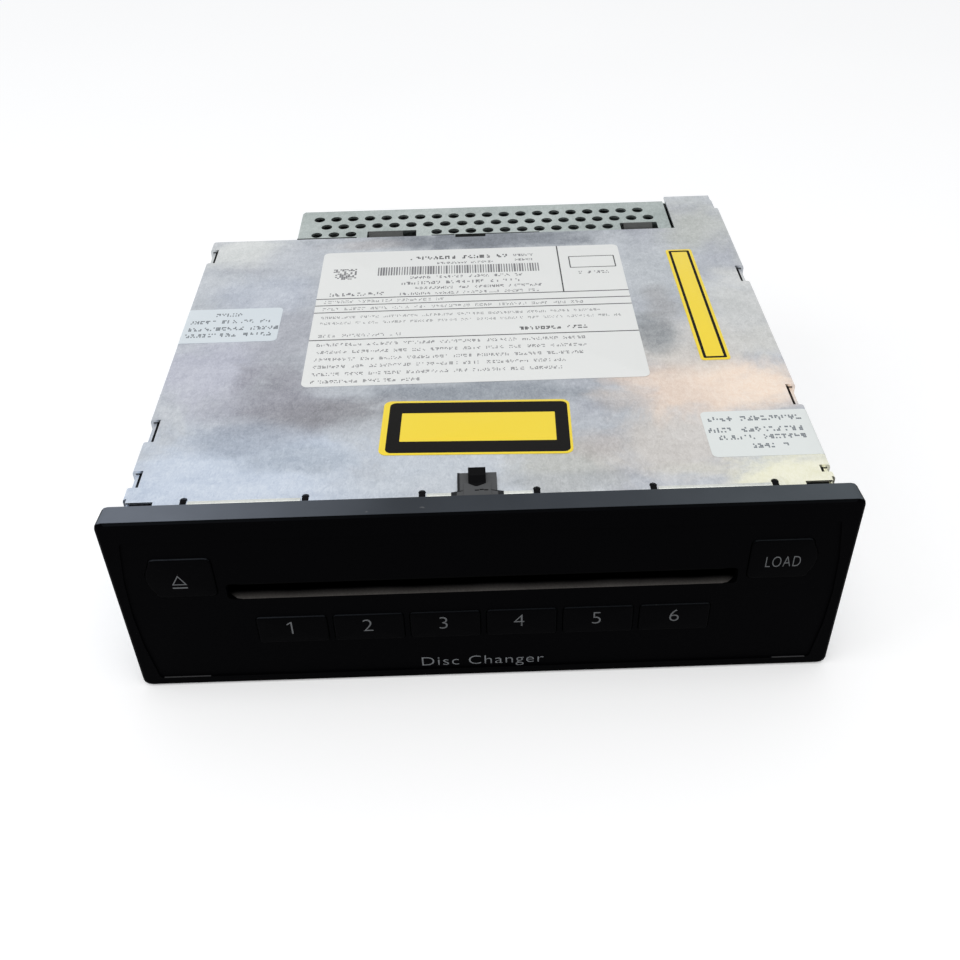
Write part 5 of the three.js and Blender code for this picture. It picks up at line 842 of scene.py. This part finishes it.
# Stickers: middle, half sizes, corner, turn; their black lines: middle, outer and inner (half sizes, corner), turn
sticker = {
    "yellow": (0.93, 0.705, 0.045), "black": (0.0085, 0.008, 0.0075), "thickness": 0.12, "lineThickness": 0.035,
    "films": {"front_sticker": ((-0.25, 37.1), (25.4, 12.05), 2.2, -1.9),
              "slim_sticker": ((69.4, 99.2), (4.3, 33.6), 1.0, 0)},
    "lines": {"front_sticker_band": ((0.25, 37.0), ((24.2, 11.2), 1.7), ((20.7, 6.35), 0.25), -1.9),
              "slim_sticker_line": ((69.4, 99.2), ((3.4, 32.7), 0.5), ((2.55, 31.85), 0.25), 0)},
}
yellow = plainFinish("yellowFilm", sticker["yellow"], 0.4, mottle=0.08, specular=0.3)
blackFilm = plainFinish("blackFilm", sticker["black"], 0.5, mottle=0.1, specular=0.05)
lineZ = coverTop + sticker["thickness"] - 0.01
for film, line in zip(sticker["films"], sticker["lines"]):
    middle, half, corner, degrees = sticker["films"][film]
    flatPlate(film, middle, half, corner, sticker["thickness"], coverTop, yellow, degrees)
    middle, outer, inner, degrees = sticker["lines"][line]
    flatFrame(line, middle, outer, inner, sticker["lineThickness"], lineZ, blackFilm, degrees)

# Seals: (inner end's X, fromY, toY), and their rows of print
seal = {
    "rightFilm": (0.765, 0.8, 0.785), "leftFilm": (0.69, 0.75, 0.79), "ink": (0.16, 0.18, 0.2), "thickness": 0.06,
    "radius": 1.0, "drop": 9.0, "corner": 1.6, "inkZ": (-0.01, 0.02),
    "right": (60.0, 20.6, 40.3), "left": (59.3, 83.5, 103.0),
    "rightRows": [(60.9, 87.8, 36.8, 2.3), (60.2, 87.6, 31.9, 2.3), (62.5, 87.8, 28.6, 2.1), (70.6, 80.2, 24.8, 2.1)],
    "leftRows": [(-87.6, -60.6, 87.6, 2.2), (-87.6, -60.3, 91.2, 2.2), (-87.6, -62.7, 95.3, 2.1),
                 (-79.9, -70.7, 99.3, 2.1)],
}
sealInk = plainFinish("sealInk", seal["ink"], 0.5)


# A seal strip along X, a quarter circle round the side bend and down the side, with round corners at its free end
def sealStrip(name, film, side, innerX, fromY, toY):
    flat = coverHigh[0] - seal["radius"] - innerX
    arc = seal["radius"] * math.pi / 2
    run = np.concatenate([seal["corner"] * (1 - np.cos(np.linspace(0, math.pi / 2, 7)[:-1])),
                          np.linspace(seal["corner"], flat, 12)[:-1], flat + np.linspace(0, arc, 7)[:-1],
                          flat + arc + np.linspace(0, seal["drop"], 4)])
    angle = np.clip((run - flat) / seal["radius"], 0, math.pi / 2)
    lift = seal["radius"] + seal["thickness"] * np.array([[1.0], [-0.1]])
    x = innerX + np.minimum(run, flat) + lift * np.sin(angle)
    z = coverTop - seal["radius"] + lift * np.cos(angle) - np.maximum(run - flat - arc, 0)
    short = np.clip(seal["corner"] - run, 0, None)
    pulled = seal["corner"] - np.sqrt(np.clip(seal["corner"] ** 2 - short ** 2, 0, None))
    half = (toY - fromY) / 2 - pulled
    near, far = (fromY + toY) / 2 - half, (fromY + toY) / 2 + half
    corners = ((0, near), (0, far), (1, far), (1, near))
    loop = np.stack([joined(side * x[face], y, z[face]) for face, y in corners], 1)
    last = 4 * (len(run) - 1)
    caps = np.array([[3, 2, 1, 0], [last, last + 1, last + 2, last + 3]])
    material = plainFinish(name + "_film", film, 0.42, mottle=0.1, specular=0.4)
    return piece(name, loop, np.vstack([gridFaces(len(run), 4, True), caps]), material)


sealZs = [coverTop + seal["thickness"] + lift for lift in seal["inkZ"]]
for side, sideName in sides[::-1]:
    sealStrip(f"{sideName}_seal", seal[sideName + "Film"], side, *seal[sideName])
for _, sideName in sides[::-1]:
    bars(f"{sideName}_seal_print", *markRows(seal[sideName + "Rows"]), *sealZs, sealInk)
print("labels placed")

# Legends: text made a mesh and stood up against a face. A word has its text, middle X, base Z, height, body, letter
# spacing, width and thinning
legend = {
    "pale": (0.17, 0.178, 0.187), "keyPale": (0.115, 0.119, 0.124), "lift": 0.02, "thickness": 0.03,
    "panelFace": 0.4, "digit": 4.4, "digitZ": 18.8, "digitThin": 0.016,
    "digitXs": (-50.5, -30.3, -10.5, 9.3, 29.6, 50.0),
    "flag": [(0.12, 0), (0.52, 0), (0.52, 4.4), (0.2, 4.4), (-0.9, 3.62), (-0.9, 3.2), (0.12, 3.9)],
    "load_legend": ("LOAD", 75.8, 37.4, 3.6, "load_button", 1.12, 8.8, 0.014),
    "disc_legend": ("Disc Changer", -0.5, 4.1, 3.3, "root", 1.1, 33.0, 0.012),
}
legendInk = plainFinish("legendInk", legend["pale"], 0.5, mottle=0.05, specular=0.1)
keyInk = plainFinish("keyInk", legend["keyPale"], 0.5, mottle=0.05, specular=0.1)
capFace = cap["edge"][0][1]


def textMesh(name, text, spacing=1.0, thin=0.0):
    curve = bpy.data.curves.new(name, "FONT")
    curve.body = text
    curve.size = 1
    curve.space_character = spacing
    curve.offset = -thin
    curve.resolution_u = 6
    holder = linked(name, curve)
    bpy.context.view_layer.update()
    mesh = bpy.data.meshes.new_from_object(holder.evaluated_get(bpy.context.evaluated_depsgraph_get()))
    bpy.data.objects.remove(holder)
    points = np.zeros(len(mesh.vertices) * 3)
    mesh.vertices.foreach_get("co", points)
    return mesh, points.reshape(-1, 3)


capHeight = np.ptp(textMesh("measure", "L")[1][:, 1])


# A sign's flat points (across, up) go onto the panel or a key, with a middle x and a base height
def onFace(name, mesh, flat, x, baseZ, body):
    faceY, material = (legend["panelFace"], legendInk) if body == "root" else (capFace, keyInk)
    placed = joined(x + flat[:, 0], faceY - legend["lift"], baseZ + flat[:, 1])
    mesh.vertices.foreach_set("co", toFrame(placed).ravel())
    mesh.update()
    mesh.materials.clear()
    mesh.materials.append(material)
    made = linked(name, mesh)
    thicken = made.modifiers.new("thickness", "SOLIDIFY")
    thicken.thickness = legend["thickness"] * mm
    thicken.offset = 0
    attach(made, body)


def faceText(name, text, x, baseZ, height, body, spacing=1.0, width=None, thin=0.0):
    mesh, points = textMesh(name, text, spacing, thin)
    flat = points[:, :2] * height / capHeight
    flat[:, 0] -= (flat[:, 0].min() + flat[:, 0].max()) / 2
    if width:
        flat[:, 0] *= width / np.ptp(flat[:, 0])
    onFace(name, mesh, flat, x, baseZ, body)


digitXs, digitZ = legend["digitXs"], legend["digitZ"]
flag = np.array(legend["flag"])
flagMesh = newMesh("digit_1", joined(*flag.T, 0), [list(range(len(flag)))])
onFace("digit_1", flagMesh, flag, digitXs[0], digitZ, "disc_button_1")
for i, x in enumerate(digitXs[1:], 2):
    faceText(f"digit_{i}", str(i), x, digitZ, legend["digit"], f"disc_button_{i}", thin=legend["digitThin"])
for name in ("load_legend", "disc_legend"):
    faceText(name, *legend[name])

# Eject sign: a hollow triangle over a bar, each the strip between an outline and the same outline drawn in
ejectSign = {
    "eject_triangle": ([(-78.1, 37.9), (-74.3, 37.9), (-76.2, 41.2)], 0.75),
    "eject_bar": ([(-78.1, 36.7), (-74.3, 36.7), (-74.3, 37.1), (-78.1, 37.1)], 0.02),
}
for name, (outline, share) in ejectSign.items():
    outer = np.array(outline)
    inner = outer.mean(0) + (outer - outer.mean(0)) * share
    rear, front = capFace + legend["lift"], capFace - legend["thickness"]
    rings = ((outer, rear), (outer, front), (inner, front), (inner, rear), (outer, rear))
    skin(name, [joined(ring[:, 0], y, ring[:, 1]) for ring, y in rings], keyInk, "eject_button")
print("legends placed")

# Camera at the photograph's place
camera = {
    "focal": 1091.2, "pixels": 960, "sensor": 36, "clip": 0.01, "place": (-0.8, -284.25, 230.8),
    "rows": ((0.99946, -0.02361, -0.02286), (-0.03265, -0.63363, -0.77295), (0.00376, 0.77328, -0.63406)),
}
lens = bpy.data.cameras.new("camera")
lens.sensor_width = camera["sensor"]
lens.lens = camera["focal"] / camera["pixels"] * camera["sensor"]
lens.clip_start = camera["clip"]
viewer = linked("camera", lens)
rows = np.array(camera["rows"])
turn = np.eye(4)
turn[:3, 0], turn[:3, 1], turn[:3, 2] = rows[0], -rows[1], -rows[2]
turn[:3, 3] = np.array(camera["place"]) * mm
viewer.matrix_world = Matrix(turn.tolist())
bpy.context.scene.camera = viewer


# 1 for rays from the camera, a mirror-like surface or a clear one, 0 for the rays that light the scene
def seenRays(tree):
    rays = addNode(tree, "LightPath").outputs
    return worked(tree, "MAXIMUM", worked(tree, "MAXIMUM", rays["Is Camera Ray"], rays["Is Glossy Ray"]),
                  rays["Is Transmission Ray"])


# Pale floor that keeps the object's shadow and glows more with the distance, and white surroundings
studio = {
    "floorDark": (0.93, 0.93, 0.93), "floorPale": (0.95, 0.95, 0.95), "floorCloud": (3, 2), "floorHalf": 6.0,
    "floorDrop": 0.0001, "floorRoughness": 0.9, "glowSpan": (0.4, 3.0), "glow": (0.2, 0.5),
    "air": (0.97, 0.98, 1, 1), "ambient": 0.58, "white": (1, 1, 1, 1),
}
floorMaterial, floorTree, floorShader = newMaterial("paleFloor")
floorPlace = objectPlace(floorTree)
tint = ramp(floorTree, noise(floorTree, floorPlace, *studio["floorCloud"]),
            [(0.3, studio["floorDark"]), (0.7, studio["floorPale"])])
glow = spread(floorTree, length(floorTree, floorPlace), *studio["glowSpan"], *studio["glow"])
glow = worked(floorTree, "MULTIPLY", seenRays(floorTree), glow)
setInputs(floorTree, floorShader, {"Base Color": tint, "Roughness": studio["floorRoughness"],
                                   "Specular IOR Level": 0, "Emission Color": studio["white"],
                                   "Emission Strength": glow})
reach = studio["floorHalf"]
floorCorners = [(-reach, -reach, 0), (reach, -reach, 0), (reach, reach, 0), (-reach, reach, 0)]
floorMesh = newMesh("floor", floorCorners, [[0, 1, 2, 3]])
floorMesh.materials.append(floorMaterial)
floor = linked("floor", floorMesh)
floor.location.z = cadLow.z - studio["floorDrop"]

world = bpy.data.worlds.new("studio")
bpy.context.scene.world = world
world.use_nodes = True
air = world.node_tree
air.nodes.clear()
lit = addNode(air, "Background", {"Color": studio["air"], "Strength": studio["ambient"]})
shown = addNode(air, "Background", {"Color": studio["white"], "Strength": 1.0})
either = addNode(air, "MixShader", {0: seenRays(air), 1: lit.outputs[0], 2: shown.outputs[0]})
addNode(air, "OutputWorld", {"Surface": either.outputs[0]})

# Lamps aimed at the object's foot
lamps = {
    "above": {"place": (0.05, -0.38, 1.1), "size": 1.0, "watts": 5.0, "color": (1, 0.99, 0.97)},
    "left": {"place": (-0.9, -0.2, 0.8), "size": 0.8, "watts": 2.0, "color": (0.93, 0.96, 1)},
}
for name, lamp in lamps.items():
    light = bpy.data.lights.new(name, "AREA")
    light.size = lamp["size"]
    light.energy = lamp["watts"]
    light.color = lamp["color"]
    made = linked(name, light)
    made.rotation_euler = (-Vector(lamp["place"])).to_track_quat("-Z", "Y").to_euler()
    made.location = lamp["place"]
bpy.context.scene.view_settings.view_transform = "Standard"
print("camera, floor and lamps set")
